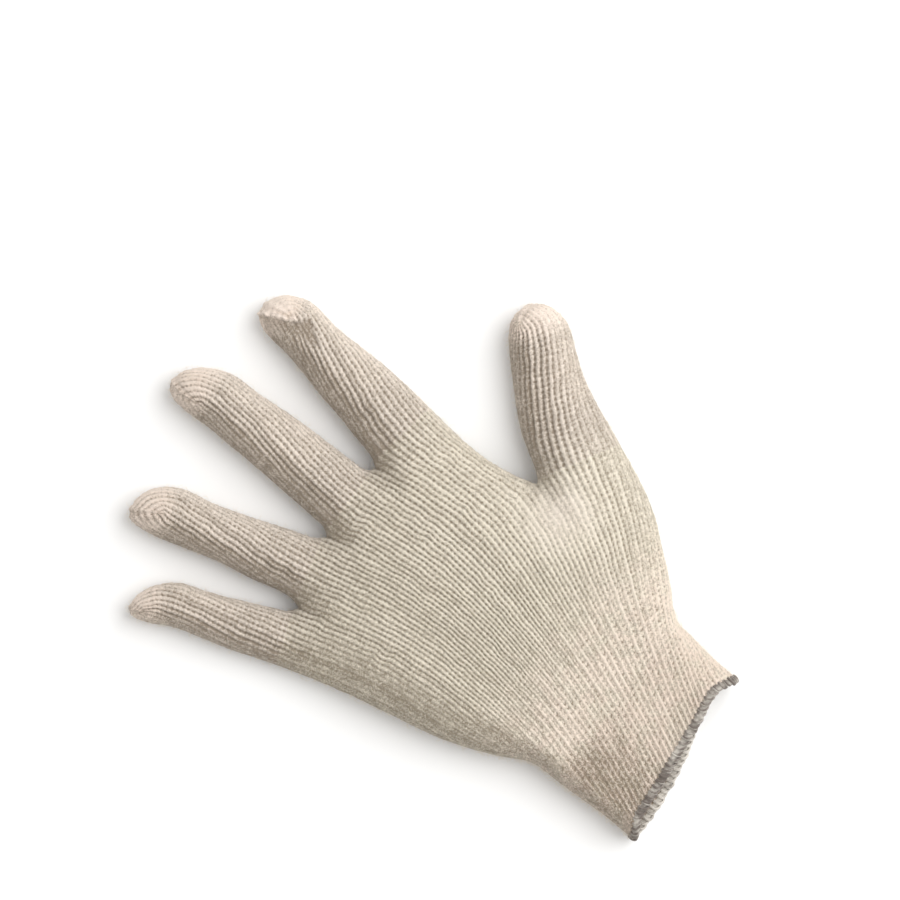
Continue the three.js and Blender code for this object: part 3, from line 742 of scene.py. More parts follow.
class Glove:
    """Knits the sheet once and hands its pieces to the operators."""

    def __init__(self, settings):
        knit = self.knit = Knit(settings.course * PER_METRE)
        pieces = {name: knit.triangles(name) for name in knit.blocks}
        self.tris = {name: tris for name, (tris, _) in pieces.items()}
        self.stitches = {name: stitches for name, (_, stitches) in pieces.items()}
        every = np.concatenate(list(self.tris.values()))
        mouth = knit.blocks["cuff"]["ids"][0]
        base = settle(knit.base, every, settings.settle, mouth)
        base = ease_wales(knit.blocks, base, every, settings.ease)
        base = stray(knit.blocks, base, settings.wander * PER_METRE, STRAY_SEED)
        self.base = settle(base, every, 2, mouth)
        self.base_normals = vertex_normals(self.base, every)
        self.mark_stitches()
        self.paint_shade_and_even()
        self.place = self.raise_stitches(settings.groove * PER_METRE)
        self.normals = vertex_normals(self.place, every)
        self.inner = self.base - self.base_normals * (settings.wall * PER_METRE)
        self.inner[:, 2] = np.maximum(self.inner[:, 2], INNER_CLEAR)
        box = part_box("palm")
        centre = np.array([(box[0][n] + box[1][n]) / 2 for n in range(2)]) * PER_METRE
        hand = np.unique(np.concatenate([knit.blocks[name]["ids"].ravel() for name in ("heel", "knuckles")]))
        own = (self.base[hand, :2].min(0) + self.base[hand, :2].max(0)) / 2
        self.shift = np.array([*(centre - own), 0.0])

    def mark_stitches(self):
        """Relief and draw of each stitch, the puckers at the closed tips, and the warmth of the stalls."""
        count = len(self.base)
        self.relief, self.rib, self.warm = np.zeros(count), np.zeros(count), np.zeros(count)
        self.pucker, self.even, self.dull = np.zeros(count), np.zeros(count), np.zeros(count)
        for name, block in self.knit.blocks.items():
            ids = block["ids"]
            rows, columns = ids.shape
            j, i = np.meshgrid(np.arange(rows), np.arange(columns), indexing="ij")
            share = j / (rows - 1)
            drawn = mix(*block["fade"], share)
            if name == "heel":
                drawn = 1 - smooth((share * WEB_SHARE * HAND_LENGTH - ELASTIC_FIRST) / ELASTIC_REACH)
            height = stitch_relief(i / COLUMNS, j / ROWS + block["course0"], drawn, YARN_SEED)
            if "stall" in block:
                stall, m = block["stall"], block["tip_rows"]
                near = np.clip((j - (rows - 1 - m)) / m, 0, 1)
                away = (rows - 1 - j) / ROWS * self.knit.course
                warm = mix(stall["warm"], 0.5, smooth(j / (ROWS * 14)))
                self.warm[ids] = mix(warm, 1, smooth((near + 0.4) / 1.1))
                self.dull[ids] = stall["dull"] * smooth(j / (ROWS * 18))
                self.even[ids] = stall["gathered"] * smooth((GATHER_END - away) / GATHER_REACH)
                height = height * (0.25 + 0.75 * (1 - np.exp(-away / 2.2))) + 0.2
                teeth = 1 + 0.5 * np.sin(i * 0.9 + 1.3 * np.sin(i * 0.37))
                drop = 0.45 * np.exp(-((away - 2.6) / 1.3) ** 2)
                self.pucker[ids] = 0.3 * teeth * np.exp(-away ** 2) - drop
            if name == "knuckles":
                self.warm[ids] = np.maximum(self.warm[ids], 0.2 * smooth((j - rows) / (ROWS * 12) + 1))
            self.relief[ids] = height
            self.rib[ids] = drawn

    def paint_shade_and_even(self):
        """Painted shade: on the sides facing away from the key light, on the little-finger side of the cuff,
        along the thumb side of the hand and under the index finger's fold, with each stall's darkening added,
        and less of it inside the web, which is warmer. Also the places where the yarn lies even: at the
        sides, inside the web and at the fold.
        """
        base, normals = self.base, self.base_normals
        side = normals[:, 0]
        # Painted shade on the sides that face away from the key light
        shade = smooth((0.06 - side) / 0.55)
        shaded = mix(shade, smooth((-0.25 - side) / 0.4), np.minimum(2 * self.warm, 1))
        even = np.maximum(self.even, shaded)
        # Painted shade on the little-finger side of the cuff
        on_cuff = smooth((CUFF_LENGTH + 6 - base[:, 1]) / 14)
        shade = np.maximum(shade, on_cuff * smooth((4 - base[:, 0]) / 30))
        even = np.maximum(even, 0.7 * smooth((side - 0.45) / 0.45))
        shade = np.maximum(shade, self.dull)
        # Painted shade and even yarn along the thumb side of the hand, between the cuff and the stalls
        outer = smooth((side - 0.1) / 0.45) * smooth((base[:, 0] - 35) / 12)
        outer = outer * smooth((base[:, 1] - CUFF_LENGTH - 8) / 25)
        outer = outer * smooth((CUFF_LENGTH + HAND_LENGTH + 3 - base[:, 1]) / 12)
        even = np.maximum(even, 0.85 * outer)
        shade = np.maximum(shade, 0.42 * outer)
        ids = np.unique(self.knit.blocks[STALLS[FOLDED]["name"]]["ids"])
        crest, sunk = tip_fold(STALLS[FOLDED], base[ids], normals[ids])
        self.pucker[ids] += FOLD_RISE * crest - FOLD_DROP * sunk
        # Painted shadow on the sunk face under the fold, and less painted shade on its crest
        shade[ids] = np.maximum(shade[ids] * np.maximum(1 - crest, 0), 1.3 * sunk)
        even[ids] = np.maximum(even[ids], np.maximum(0.6 * crest, 0.95 * sunk))
        away = np.linalg.norm(base[:, :2] - np.array(WEB_EVEN), axis=-1)
        pulled = np.exp(-(away / WEB_EVEN_REACH) ** 2) * (normals[:, 2] > 0)
        self.even = np.maximum(even, 0.95 * pulled)
        self.warm = np.maximum(self.warm, 0.3 * pulled)
        self.shade = shade - 0.46 * pulled
        self.relief = mix(self.relief, 0.6 + 0.3 * (self.relief - 0.6), self.even)

    def raise_stitches(self, depth):
        """Corners of the outside: raised yarn, pressed flat where the glove lies."""
        floor = smooth((-self.base_normals[:, 2] - 0.3) / 0.5) * smooth((3 - self.base[:, 2]) / 2)
        rough = np.random.default_rng(ROUGH_SEED).normal(0, 0.065, len(self.base))
        lift = (self.relief - 0.75) * depth + self.pucker + rough
        lift = lift - floor * (0.45 * depth + 0.1)
        place = self.base + self.base_normals * lift[:, None]
        place[:, 2] = np.maximum(place[:, 2], STITCH_CLEAR)
        return place

    def piece(self, name):
        """One knitted piece: its stitched outside, a plainer inside and the rims between them."""
        block = self.knit.blocks[name]
        coarse = block["ids"][::ROWS, ::COLUMNS]
        rows, columns = coarse.shape
        j, i = cells(rows - 1, columns)
        corners = ((0, 0), (1, 0), (1, 1), (0, 1))
        ids = [coarse[j + dj, (i + di) % columns] for di, dj in corners]
        at = [np.stack([i + di, j + dj + block["course0"]], -1) for di, dj in corners]
        inner = np.concatenate([np.stack([ids[n] for n in order], -1) for order in ((0, 2, 1), (0, 3, 2))])
        inner_uv = np.concatenate([np.stack([at[n] for n in order], 1) for order in ((0, 2, 1), (0, 3, 2))])
        keep = has_area(inner)
        rims = [self.rim(ring, way) for ring, way in self.ends(name)]
        count = len(self.place)
        tris = np.concatenate([self.tris[name], inner[keep] + count] + rims)
        uv = [self.stitches[name], inner_uv[keep]] + [np.zeros((len(rim), 3, 2)) for rim in rims]
        used, index = np.unique(tris, return_inverse=True)
        low = np.zeros(count)
        # The inside takes full painted shade, yarn lying even and a low relief
        values = {"relief": (self.relief, low + 0.55), "drawn": (self.rib, self.rib),
                  "warmth": (self.warm, low), "even": (self.even, low + 1), "shade": (self.shade, low + 1)}
        values = {key: np.concatenate(value)[used] for key, value in values.items()}
        points = np.concatenate([self.place, self.inner])[used]
        normals = np.concatenate([self.normals, -self.base_normals])[used]
        return make_mesh(f"knit_{name}", (points + self.shift) / PER_METRE, index.reshape(-1, 3),
                         np.concatenate(uv), values, normals)

    def ends(self, name):
        """Open rings of a piece, and whether it lies above them."""
        knit = self.knit
        knuckles = knit.blocks["knuckles"]["ids"]
        if name == "cuff":
            return [(knit.blocks["cuff"]["ids"][0], True), (knit.wrist, False)]
        if name == "heel":
            return [(knit.wrist, True), (knit.thumb_row, False), (knuckles[0], False)]
        if name == "knuckles":
            return [(knuckles[0], True)] + [(row, False) for row, _ in knit.root_rows[:THUMB]]
        return [(knit.blocks[name]["ids"][0], True)]

    def rim(self, ring, above):
        count = len(self.place)
        n = len(ring)
        fine = np.arange(n)
        near = (fine // COLUMNS) * COLUMNS
        nxt = (fine + 1) % n
        spokes = np.stack([ring[nxt], ring[fine], ring[near] + count], -1)
        coarse = np.arange(0, n, COLUMNS)
        after = (coarse + COLUMNS) % n
        joints = np.stack([ring[after], ring[coarse] + count, ring[after] + count], -1)
        tris = np.concatenate([spokes, joints])
        return tris if above else tris[:, ::-1]


def mark(mesh, key, values):
    """Puts a number or a direction on every corner of a mesh."""
    kind, field = ("FLOAT", "value") if values.ndim == 1 else ("FLOAT_VECTOR", "vector")
    attribute = mesh.attributes.new(key, kind, "POINT")
    attribute.data.foreach_set(field, values.astype(np.float32).ravel())


def put(name, data):
    """A new object in the scene."""
    obj = bpy.data.objects.new(name, data)
    bpy.context.scene.collection.objects.link(obj)
    return obj


def make_mesh(name, points, tris, uv, values, normals=None):
    mesh = bpy.data.meshes.new(name)
    mesh.vertices.add(len(points))
    mesh.vertices.foreach_set("co", points.astype(np.float32).ravel())
    mesh.loops.add(tris.size)
    mesh.loops.foreach_set("vertex_index", tris.astype(np.int32).ravel())
    mesh.polygons.add(len(tris))
    mesh.polygons.foreach_set("loop_start", np.arange(0, tris.size, 3, dtype=np.int32))
    mesh.polygons.foreach_set("use_smooth", np.ones(len(tris), bool))
    mesh.update(calc_edges=True)
    if uv is not None:
        layer = mesh.uv_layers.new(name="stitches")
        layer.data.foreach_set("uv", uv.astype(np.float32).ravel())
    for key, value in values.items():
        mark(mesh, key, value)
    mesh.validate()
    if normals is not None:
        mesh.normals_split_custom_set_from_vertices([tuple(v) for v in normals])
    return put(name, mesh)


class Value:
    """A shader or geometry socket that can stand in a sum."""

    def __init__(self, tree, socket):
        self.tree, self.socket = tree, socket

    def math(self, operation, first, second=0.0):
        return self.tree.add("ShaderNodeMath", {"operation": operation}, {0: first, 1: second})

    def __add__(self, other): return self.math("ADD", self, other)
    def __radd__(self, other): return self.math("ADD", other, self)
    def __sub__(self, other): return self.math("SUBTRACT", self, other)
    def __rsub__(self, other): return self.math("SUBTRACT", other, self)
    def __mul__(self, other): return self.math("MULTIPLY", self, other)
    def __rmul__(self, other): return self.math("MULTIPLY", other, self)
    def __pow__(self, other): return self.math("POWER", self, other)
    def fraction(self): return self.math("FRACT", self)
    def floor(self): return self.math("FLOOR", self)
    def size(self): return self.math("ABSOLUTE", self)
    def sine(self): return self.math("SINE", self)

    def between(self, low, high, to_low=0.0, to_high=1.0):
        settings = {"interpolation_type": "SMOOTHSTEP"}
        values = {"Value": self, "From Min": low, "From Max": high, "To Min": to_low, "To Max": to_high}
        return self.tree.add("ShaderNodeMapRange", settings, values)


class Tree:
    """Adds nodes to a node tree: a type, its settings, then the values or links of its sockets."""

    def __init__(self, nodes):
        self.tree = nodes

    def node(self, kind, settings=(), inputs=()):
        node = self.tree.nodes.new(kind)
        for key, value in dict(settings).items():
            setattr(node, key, value)
        for key, value in dict(inputs).items():
            socket = node.inputs[key]
            if isinstance(value, Value):
                self.tree.links.new(value.socket, socket)
            elif value is not None:
                socket.default_value = value
        return node

    def add(self, kind, settings=(), inputs=(), output=0):
        return Value(self, self.node(kind, settings, inputs).outputs[output])

    def colours(self, share, first, second, blend="MIX"):
        first, second = (value if isinstance(value, Value) else (*value, 1.0) for value in (first, second))
        return self.add("ShaderNodeMix", {"data_type": "RGBA", "blend_type": blend, "clamp_factor": True},
                        {0: share, 6: first, 7: second}, 2)

    def tinted(self, share, colour, tint):
        """The colour where share is 0, and the colour times the tint where it is 1."""
        return self.colours(share, colour, self.colours(1.0, colour, tint, "MULTIPLY"))

    def attribute(self, name):
        return self.add("ShaderNodeAttribute", {"attribute_name": name}, output=2)

    def vector(self, x, y, z=0.0):
        return self.add("ShaderNodeCombineXYZ", (), {0: x, 1: y, 2: z})

    def parts(self, vector):
        """The three coordinates of a vector."""
        return [Value(self, part) for part in self.node("ShaderNodeSeparateXYZ", (), {0: vector}).outputs]

    def surface(self, values):
        """Ends a material in one shader."""
        shader = self.add("ShaderNodeBsdfPrincipled", {}, values)
        self.node("ShaderNodeOutputMaterial", (), {"Surface": shader})

    def noise(self, vector, scale, detail, roughness=0.5):
        return self.add("ShaderNodeTexNoise", {}, {"Vector": vector, "Scale": scale, "Detail": detail,
                                                   "Roughness": roughness})


def new_material(name):
    material = bpy.data.materials.new(name)
    material.use_nodes = True
    material.node_tree.nodes.clear()
    return material, Tree(material.node_tree)


def knit_material(name, settings, tint=(1.0, 1.0, 1.0)):
    """Matte cotton: light yarn, deep grooves with painted shade in them and in the holes and on the shaded
    sides, a painted highlight along each leg, darker specks, fibres along each leg and a soft sheen.
    """
    material, tree = new_material(name)
    ridge = tuple(a * b for a, b in zip(settings.ridge_colour, tint))
    # groove is the yarn's colour with painted shade in it, for the grooves and holes
    groove = tuple(a * b for a, b in zip(settings.groove_shade_colour, tint))
    relief, warm, elastic = (tree.attribute(key) for key in ("relief", "warmth", "drawn"))
    even, shade = tree.attribute("even"), tree.attribute("shade")
    place = tree.add("ShaderNodeTexCoord", output=3)
    wale, course, _ = tree.parts(tree.add("ShaderNodeUVMap", {"uv_map": "stitches"}))
    aside = (wale.fraction() - 0.5).size()
    strand = tree.vector((aside * 7.0 - course * 1.6) * 3.0, course * 2.2, wale * 0.37)
    fibres = tree.noise(strand, 2.6, 3.0, 0.65)
    patches = tree.noise(place, 55.0, 3.0, 0.55)
    blotches = tree.noise(place, 170.0, 2.5, 0.6)
    specks = tree.noise(place, 950.0, 2.0, 0.65)
    grains = tree.noise(place, 2100.0, 1.0)
    cell = tree.vector(wale.floor(), course.floor())
    each = tree.add("ShaderNodeTexWhiteNoise", {"noise_dimensions": "2D"}, {"Vector": cell})
    ribs = tree.add("ShaderNodeTexWhiteNoise", {"noise_dimensions": "1D"}, {"W": wale.floor()})
    # Painted shade in the line between two wales, or between two pairs where elastic draws them together, and
    # darker still in its holes
    pair = ((wale * 0.5).fraction() - 0.25).size() * 2
    between = aside.between(0.1, 0.42)
    line = between + elastic * (pair.between(0.35, 0.85) - between)
    wave = ((course - aside + 0.2) * (2 * math.pi)).sine()
    hole = line * (0.5 + 0.5 * wave) ** 1.6 * (0.3 + each * 1.4)
    # A painted highlight along each leg of the stitch, fading to painted shade on its far side
    leg = (course - aside).fraction().between(0.0, 0.35) - (course - aside).fraction().between(0.6, 1.0)
    out = relief.between(-0.1, 0.8)
    clear = 1 - even * 0.75
    stall, tip = warm.between(0.0, 0.5), warm.between(0.5, 1.0)
    # Lightness from the painted groove shade to the yarn: lighter where the yarn stands out and darker where
    # it sinks, as painted light; lighter tips and darker stalls; painted shade in the lines, holes and on the
    # shaded sides; a painted highlight on the legs; and random tone in each stitch, rib, fibre, speck, grain
    # and blotch
    light = 0.82 + elastic * 0.05 + tip * 0.53 - stall * 0.23 + (out - 0.6) * 0.2
    light = light - line * clear * (0.27 - elastic * 0.19) - hole * clear * (0.38 + elastic * 0.02)
    light = light - shade * (0.57 - stall * 0.1) + (leg - 0.5) * clear * 0.08
    light = light + (each - 0.5) * (0.26 + elastic * 0.1) + (ribs - 0.5) * 0.2 + (fibres - 0.5) * 0.6
    light = light + (specks - 0.5) * (1.0 + elastic * 0.3) + (grains - 0.5) * (1.5 + elastic * 0.4)
    light = light + (blotches - 0.5) * (0.14 + elastic * 0.3)
    # The stalls are a little pinker, the tips lighter, the elastic pinker in blotches, and grey in patches
    colour = tree.tinted(stall, tree.colours(light, groove, ridge), (1.0, 0.975, 1.02))
    colour = tree.tinted(tip, colour, (1.09, 1.05, 1.04))
    colour = tree.tinted(elastic * blotches.between(0.35, 0.65, 0.4, 1.3), colour, (1.0, 0.945, 0.96))
    colour = tree.tinted(patches.between(0.3, 0.7, 0.0, 0.13), colour, (0.84, 0.82, 0.75))
    bump = tree.add("ShaderNodeBump", {}, {
        "Strength": 0.7, "Distance": 0.0004, "Height": fibres * 0.6 + specks * 0.7})
    tree.surface({"Base Color": colour, "Roughness": specks.between(0.3, 0.7, 0.86, 0.98), "Normal": bump,
                  "Specular IOR Level": 0.2, "Sheen Weight": 0.25, "Sheen Roughness": 0.55,
                  "Sheen Tint": (1.0, 0.97, 0.92, 1.0)})
    return material


def thread_material(name, colour, pale, lightness):
    """Wound edging thread: plies across, with paler stretches, palest on the palm side of the mouth."""
    material, tree = new_material(name)
    back = tree.attribute("back")
    place = tree.add("ShaderNodeTexCoord", output=3)
    plies, patches = tree.noise(place, 1400.0, 3.0, 0.6), tree.noise(place, 210.0, 2.0)
    share = (plies - 0.5) * 0.9 + (patches - 0.5) * 2.3 + lightness + (1 - back) * 0.8
    bump = tree.add("ShaderNodeBump", {}, {"Strength": 0.5, "Distance": 0.0002, "Height": plies})
    tree.surface({"Base Color": tree.colours(share, colour, pale), "Normal": bump,
                  "Roughness": plies.between(0.3, 0.7, 0.7, 0.9), "Specular IOR Level": 0.3,
                  "Sheen Weight": 0.15})
    return material


GLOVE = {}


def glove_of(context):
    if "sheet" not in GLOVE:
        GLOVE["sheet"] = Glove(context.scene.glove_knit)
        GLOVE["cotton"] = knit_material("cotton_knit", context.scene.glove_knit)
        GLOVE["elastic"] = knit_material("elastic_knit", context.scene.glove_knit, tint=(0.975, 0.96, 0.96))
    return GLOVE["sheet"]


def finish_piece(piece, material, node):
    """Gives a piece its material, hangs it on the root body and hides the solid node that it stands for."""
    piece.data.materials.clear()
    piece.data.materials.append(material)
    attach(piece, "root")
    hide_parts(node)


class GLOVE_OT_knit_hand(bpy.types.Operator):
    """Knits the hand tube: its heel up to the thumb, and its knuckles up to the fingers"""
    bl_idname = "glove.knit_hand"
    bl_label = "Knit the hand"

    def execute(self, context):
        sheet = glove_of(context)
        for name in ("heel", "knuckles"):
            finish_piece(sheet.piece(name), GLOVE["cotton"], "palm")
        return {"FINISHED"}


class GLOVE_OT_knit_stalls(bpy.types.Operator):
    """Knits the four finger stalls and the thumb, each with its closed tip"""
    bl_idname = "glove.knit_stalls"
    bl_label = "Knit the stalls"

    def execute(self, context):
        sheet = glove_of(context)
        for stall in STALLS:
            finish_piece(sheet.piece(stall["name"]), GLOVE["cotton"], stall["name"])
        return {"FINISHED"}


class GLOVE_OT_knit_cuff(bpy.types.Operator):
    """Knits the elastic mock rib of the cuff"""
    bl_idname = "glove.knit_cuff"
    bl_label = "Knit the cuff"

    def execute(self, context):
        sheet = glove_of(context)
        finish_piece(sheet.piece("cuff"), GLOVE["elastic"], "cuff")
        return {"FINISHED"}


def mouth_rail(sheet):
    """Points round the mouth in the middle of the wall, with the directions out of the mouth and the wall."""
    ids = sheet.knit.blocks["cuff"]["ids"]
    end, before = ((sheet.base[row] - sheet.base_normals[row] * WALL_MIDDLE)[::2]
                   for row in (ids[0], ids[ROWS * 2]))
    outward = unit(end - before)
    along = unit(np.roll(end, -1, 0) - np.roll(end, 1, 0))
    outward = unit(outward - along * (outward * along).sum(-1, keepdims=True))
    for _ in range(6):
        outward = unit(np.roll(outward, 1, 0) + outward * 2 + np.roll(outward, -1, 0))
    normal = unit(np.cross(along, outward))
    wall = sheet.base_normals[ids[0]][::2]
    return end, outward, normal * np.sign((normal * wall).sum(-1, keepdims=True))


class GLOVE_OT_wind_edging(bpy.types.Operator):
    """Winds the overlock edging: a soft core round the mouth and slanted loops of thread over it"""
    bl_idname = "glove.wind_edging"
    bl_label = "Wind the edging"

    def execute(self, context):
        sheet = glove_of(context)
        settings = context.scene.glove_knit
        colours = settings.thread_colour, settings.pale_thread_colour
        end, outward, normal = mouth_rail(sheet)
        band = thread_material("edging_band", *colours, 0.3)
        finish_piece(self.core(sheet, end, outward, normal), band, "overlock")
        dark = thread_material("edging_thread", *colours, 0.0)
        pale = thread_material("looper_thread", *colours, 0.4)
        threads = (("edging_loops", 0, 0.0005, 1.5, dark), ("edging_ties", 2, 0.0003, 0.7, pale))
        for name, first, thread, lean, material in threads:
            rail, away, up = (values[first::LOOP_STEP] for values in (end, outward, normal))
            places = (rail + away * EDGING_OFFSET + sheet.shift) / PER_METRE
            places[:, 2] = np.maximum(places[:, 2], EDGING_CLEAR / PER_METRE)
            sizes = {"Reach": 0.002, "Thickness": 0.00115, "Thread": thread, "Lean": lean}
            loops = repeat_on_points(context, name, places, away, up, {"back": up[:, 2] > 0}, sizes,
                                     self.loop, 5, (0.8, 1.12), material)
            finish_piece(loops, material, "overlock")
        return {"FINISHED"}

    def core(self, sheet, end, outward, normal):
        """A soft uneven roll round the mouth."""
        sides = 10
        n = len(end)
        angle = 2 * np.pi * np.arange(sides) / sides
        uneven = (1 + 0.12 * np.sin(np.arange(n) * 1.57) + 0.06 * np.sin(np.arange(n) * 0.41))[:, None]
        ring = ((end + outward * EDGING_OFFSET)[:, None]
                + outward[:, None] * (uneven * np.cos(angle) * EDGING_REACH)[..., None]
                + normal[:, None] * (uneven * np.sin(angle) * EDGING_DEPTH)[..., None])
        ring[..., 2] = np.maximum(ring[..., 2], 0.05)
        i, j = cells(n, sides)
        a, b = i * sides + j, i * sides + (j + 1) % sides
        c, d = (i + 1) % n * sides + (j + 1) % sides, (i + 1) % n * sides + j
        tris = np.concatenate([np.stack([a, b, c], -1), np.stack([a, c, d], -1)])
        points = (ring.reshape(-1, 3) + sheet.shift) / PER_METRE
        corners = [points[tris[:, n]] for n in range(3)]
        volume = np.einsum("ij,ij->i", corners[0], np.cross(corners[1], corners[2])).sum()
        back = np.repeat((normal[:, 2] > 0).astype(float), sides)
        return make_mesh("edging_core", points, tris if volume > 0 else tris[:, ::-1], None, {"back": back})

    def loop(self, tree, take):
        """An open arc of thread round the core, leaning along it."""
        arc, x, y = arc_of(tree, 9, -125, 250)
        high = y * take["Thickness"]
        return bent(tree, arc, x * take["Reach"], high, high * take["Lean"])


class GLOVE_OT_raise_fuzz(bpy.types.Operator):
    """Raises short loose fibres from the yarn all over the glove"""
    bl_idname = "glove.raise_fuzz"
    bl_label = "Raise the fuzz"

    def execute(self, context):
        sheet = glove_of(context)
        settings = context.scene.glove_knit
        count = settings.fibres
        rng = np.random.default_rng(FUZZ_SEED)
        spots = np.flatnonzero((sheet.relief > 0.3) & (sheet.place[:, 2] > 0.6))
        likely = 0.15 + np.exp(-(sheet.normals[spots, 2] / 0.35) ** 2)
        chosen = rng.choice(spots, count, replace=False, p=likely / likely.sum())
        normal = unit(sheet.normals[chosen] + rng.normal(0, 0.35, (count, 3)))
        side = unit(np.cross(normal, rng.normal(0, 1, (count, 3))))
        places = (sheet.place[chosen] - sheet.normals[chosen] * 0.1 + sheet.shift) / PER_METRE
        pale = tuple(min(1.0, c * 1.1) for c in settings.ridge_colour)
        material = thread_material("loose_fibre", settings.ridge_colour, pale, 0.5)
        sizes = {"Curl": 0.0012, "Thread": 0.000032}
        fuzz = repeat_on_points(context, "fuzz", places, normal, side, {}, sizes, self.fibre, 3, (0.5, 1.3),
                                material)
        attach(fuzz, "root")
        return {"FINISHED"}

    def fibre(self, tree, take):
        """A curl that leaves the yarn upright and bends over."""
        arc, x, y = arc_of(tree, 4, 180, -105)
        curl = take["Curl"]
        return bent(tree, arc, y * curl, (x + 1) * curl, (x + 1) * y * curl * 0.6)


def arc_of(tree, corners, start, sweep):
    """An arc of radius 1 in a plane, angles in degrees, and the two coordinates of its corners."""
    arc = tree.add("GeometryNodeCurveArc", {"mode": "RADIUS"}, {
        "Resolution": corners, "Radius": 1.0, "Start Angle": math.radians(start),
        "Sweep Angle": math.radians(sweep)})
    return arc, *tree.parts(tree.add("GeometryNodeInputPosition"))[:2]


def bent(tree, curve, x, y, z):
    return tree.add("GeometryNodeSetPosition", {}, {"Geometry": curve, "Position": tree.vector(x, y, z)})


def repeat_on_points(context, name, places, outward, side, marks, sizes, shape, sides, scales, material):
    """Sets one tube of thread, whose run shape() draws, on every point, turned to its two directions."""
    mesh = bpy.data.meshes.new(name)
    mesh.from_pydata([tuple(p) for p in places], [], [])
    for key, value in {"outward": outward, "side": side, **marks}.items():
        mark(mesh, key, value)
    holder = put(name, mesh)
    group = bpy.data.node_groups.new(name, "GeometryNodeTree")
    group.interface.new_socket("Geometry", in_out="INPUT", socket_type="NodeSocketGeometry")
    for key, value in sizes.items():
        group.interface.new_socket(key, in_out="INPUT", socket_type="NodeSocketFloat").default_value = value
    group.interface.new_socket("Geometry", in_out="OUTPUT", socket_type="NodeSocketGeometry")
    tree = Tree(group)
    take = {s.name: Value(tree, s) for s in tree.node("NodeGroupInput").outputs}
    ring = tree.add("GeometryNodeCurvePrimitiveCircle", {"mode": "RADIUS"}, {
        "Resolution": sides, "Radius": take["Thread"]})
    tube = tree.add("GeometryNodeCurveToMesh", {}, {
        "Curve": shape(tree, take), "Profile Curve": ring, "Fill Caps": True})
    ways = [tree.add("GeometryNodeInputNamedAttribute", {"data_type": "FLOAT_VECTOR"}, {"Name": key})
            for key in ("outward", "side")]
    turn = tree.add("FunctionNodeAxesToRotation", {"primary_axis": "X", "secondary_axis": "Y"},
                    {0: ways[0], 1: ways[1]})
    scale = tree.add("FunctionNodeRandomValue", {"data_type": "FLOAT"},
                     {"Min": scales[0], "Max": scales[1], "Seed": REPEAT_SEED}, 1)
    spots = tree.add("GeometryNodeMeshToPoints", {}, {"Mesh": take["Geometry"]})
    made = tree.add("GeometryNodeInstanceOnPoints", {}, {
        "Points": spots, "Instance": tube, "Rotation": turn, "Scale": scale})
    real = tree.add("GeometryNodeRealizeInstances", {}, {0: made})
    soft = tree.add("GeometryNodeSetShadeSmooth", {}, {0: real})
    done = tree.add("GeometryNodeSetMaterial", {}, {"Geometry": soft, "Material": material})
    tree.node("NodeGroupOutput", (), {0: done})
    modifier = holder.modifiers.new(name, "NODES")
    modifier.node_group = group
    for item in group.interface.items_tree:
        if item.in_out == "INPUT" and item.name in sizes:
            modifier[item.identifier] = sizes[item.name]
    context.view_layer.update()
    mesh = bpy.data.meshes.new_from_object(holder.evaluated_get(context.evaluated_depsgraph_get()))
    bpy.data.objects.remove(holder)
    mesh.name = name
    piece = put(name, mesh)
    corners = np.zeros(len(mesh.vertices) * 3, np.float32)
    mesh.vertices.foreach_get("co", corners)
    corners[2::3] = np.maximum(corners[2::3], 0.0001)
    mesh.vertices.foreach_set("co", corners)
    return piece


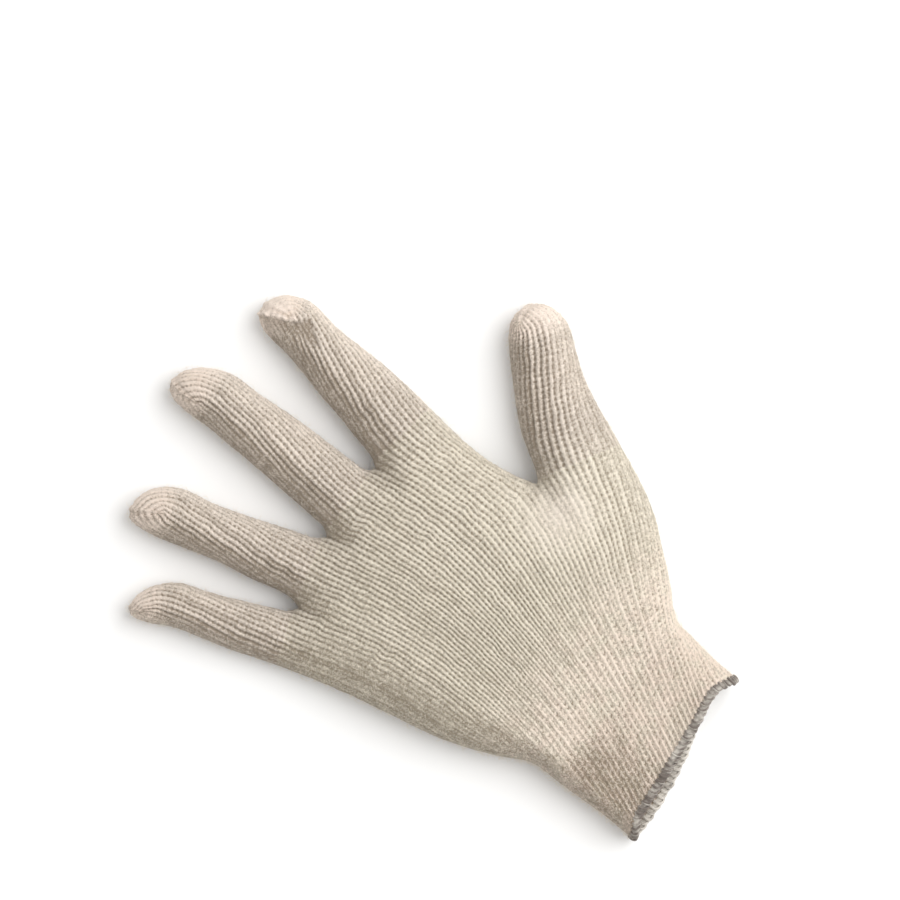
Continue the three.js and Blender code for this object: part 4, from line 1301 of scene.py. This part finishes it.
class GLOVE_OT_lay_stage(bpy.types.Operator):
    """Lays the floor, hangs the soft lights and sets the camera over the glove"""
    bl_idname = "glove.lay_stage"
    bl_label = "Lay the stage"

    def execute(self, context):
        settings = context.scene.glove_stage
        mesh = bpy.data.meshes.new("floor")
        mesh.from_pydata([(-3, -3, 0), (3, -3, 0), (3, 3, 0), (-3, 3, 0)], [], [(0, 1, 2, 3)])
        floor = put("floor", mesh)
        material, tree = new_material("floor")
        tree.surface({"Base Color": (*settings.floor_colour, 1.0), "Roughness": 0.9,
                      "Specular IOR Level": 0.1})
        mesh.materials.append(material)
        world = bpy.data.worlds.new("studio")
        context.scene.world = world
        world.use_nodes = True
        background = world.node_tree.nodes["Background"].inputs
        background["Color"].default_value = (1.0, 0.99, 0.97, 1.0)
        background["Strength"].default_value = 0.6
        context.scene.view_settings.view_transform = "Standard"
        self.light("key", (0.78, -0.42, 1.05), 1.7, 19.5)
        self.light("top", (0.2, 0.2, 2.0), 1.6, 5.0)
        data = bpy.data.cameras.new("camera")
        data.sensor_width = 36.0
        data.lens = 36.0 * settings.distance / settings.width
        data.clip_end = 20.0
        camera = put("camera", data)
        camera.location = (settings.centre[0], settings.centre[1], settings.distance)
        camera.rotation_euler = (0.0, 0.0, settings.roll)
        context.scene.camera = camera
        return {"FINISHED"}

    def light(self, name, place, size, power):
        data = bpy.data.lights.new(name, "AREA")
        data.shape = "DISK"
        data.size = size
        data.energy = power
        lamp = put(name, data)
        lamp.location = place
        way = np.array([0.0, 0.03, 0.0]) - np.array(place)
        lamp.rotation_euler = Vector(way).to_track_quat("-Z", "Y").to_euler()


class GLOVE_PT_panel(bpy.types.Panel):
    """Lists the pieces of the glove and their sizes"""
    bl_idname = "GLOVE_PT_panel"
    bl_label = "Cotton work glove"
    bl_space_type = "VIEW_3D"
    bl_region_type = "UI"
    bl_category = "Glove"

    def draw(self, context):
        for step in STEPS:
            self.layout.operator(step.bl_idname)
        for group in (context.scene.glove_knit, context.scene.glove_stage):
            for key in group.bl_rna.properties.keys():
                if key not in ("rna_type", "name"):
                    self.layout.prop(group, key)


STEPS = (GLOVE_OT_knit_hand, GLOVE_OT_knit_stalls, GLOVE_OT_knit_cuff, GLOVE_OT_wind_edging,
         GLOVE_OT_raise_fuzz, GLOVE_OT_lay_stage)
CLASSES = (GloveKnit, GloveStage, *STEPS, GLOVE_PT_panel)


def register():
    for cls in CLASSES:
        bpy.utils.register_class(cls)
    bpy.types.Scene.glove_knit = bpy.props.PointerProperty(type=GloveKnit)
    bpy.types.Scene.glove_stage = bpy.props.PointerProperty(type=GloveStage)


def unregister():
    del bpy.types.Scene.glove_stage
    del bpy.types.Scene.glove_knit
    for cls in reversed(CLASSES):
        bpy.utils.unregister_class(cls)


def main():
    register()
    bpy.ops.glove.knit_hand()
    bpy.ops.glove.knit_stalls()
    bpy.ops.glove.knit_cuff()
    bpy.ops.glove.wind_edging()
    bpy.ops.glove.raise_fuzz()
    bpy.ops.glove.lay_stage()


if __name__ == "__main__":
    main()
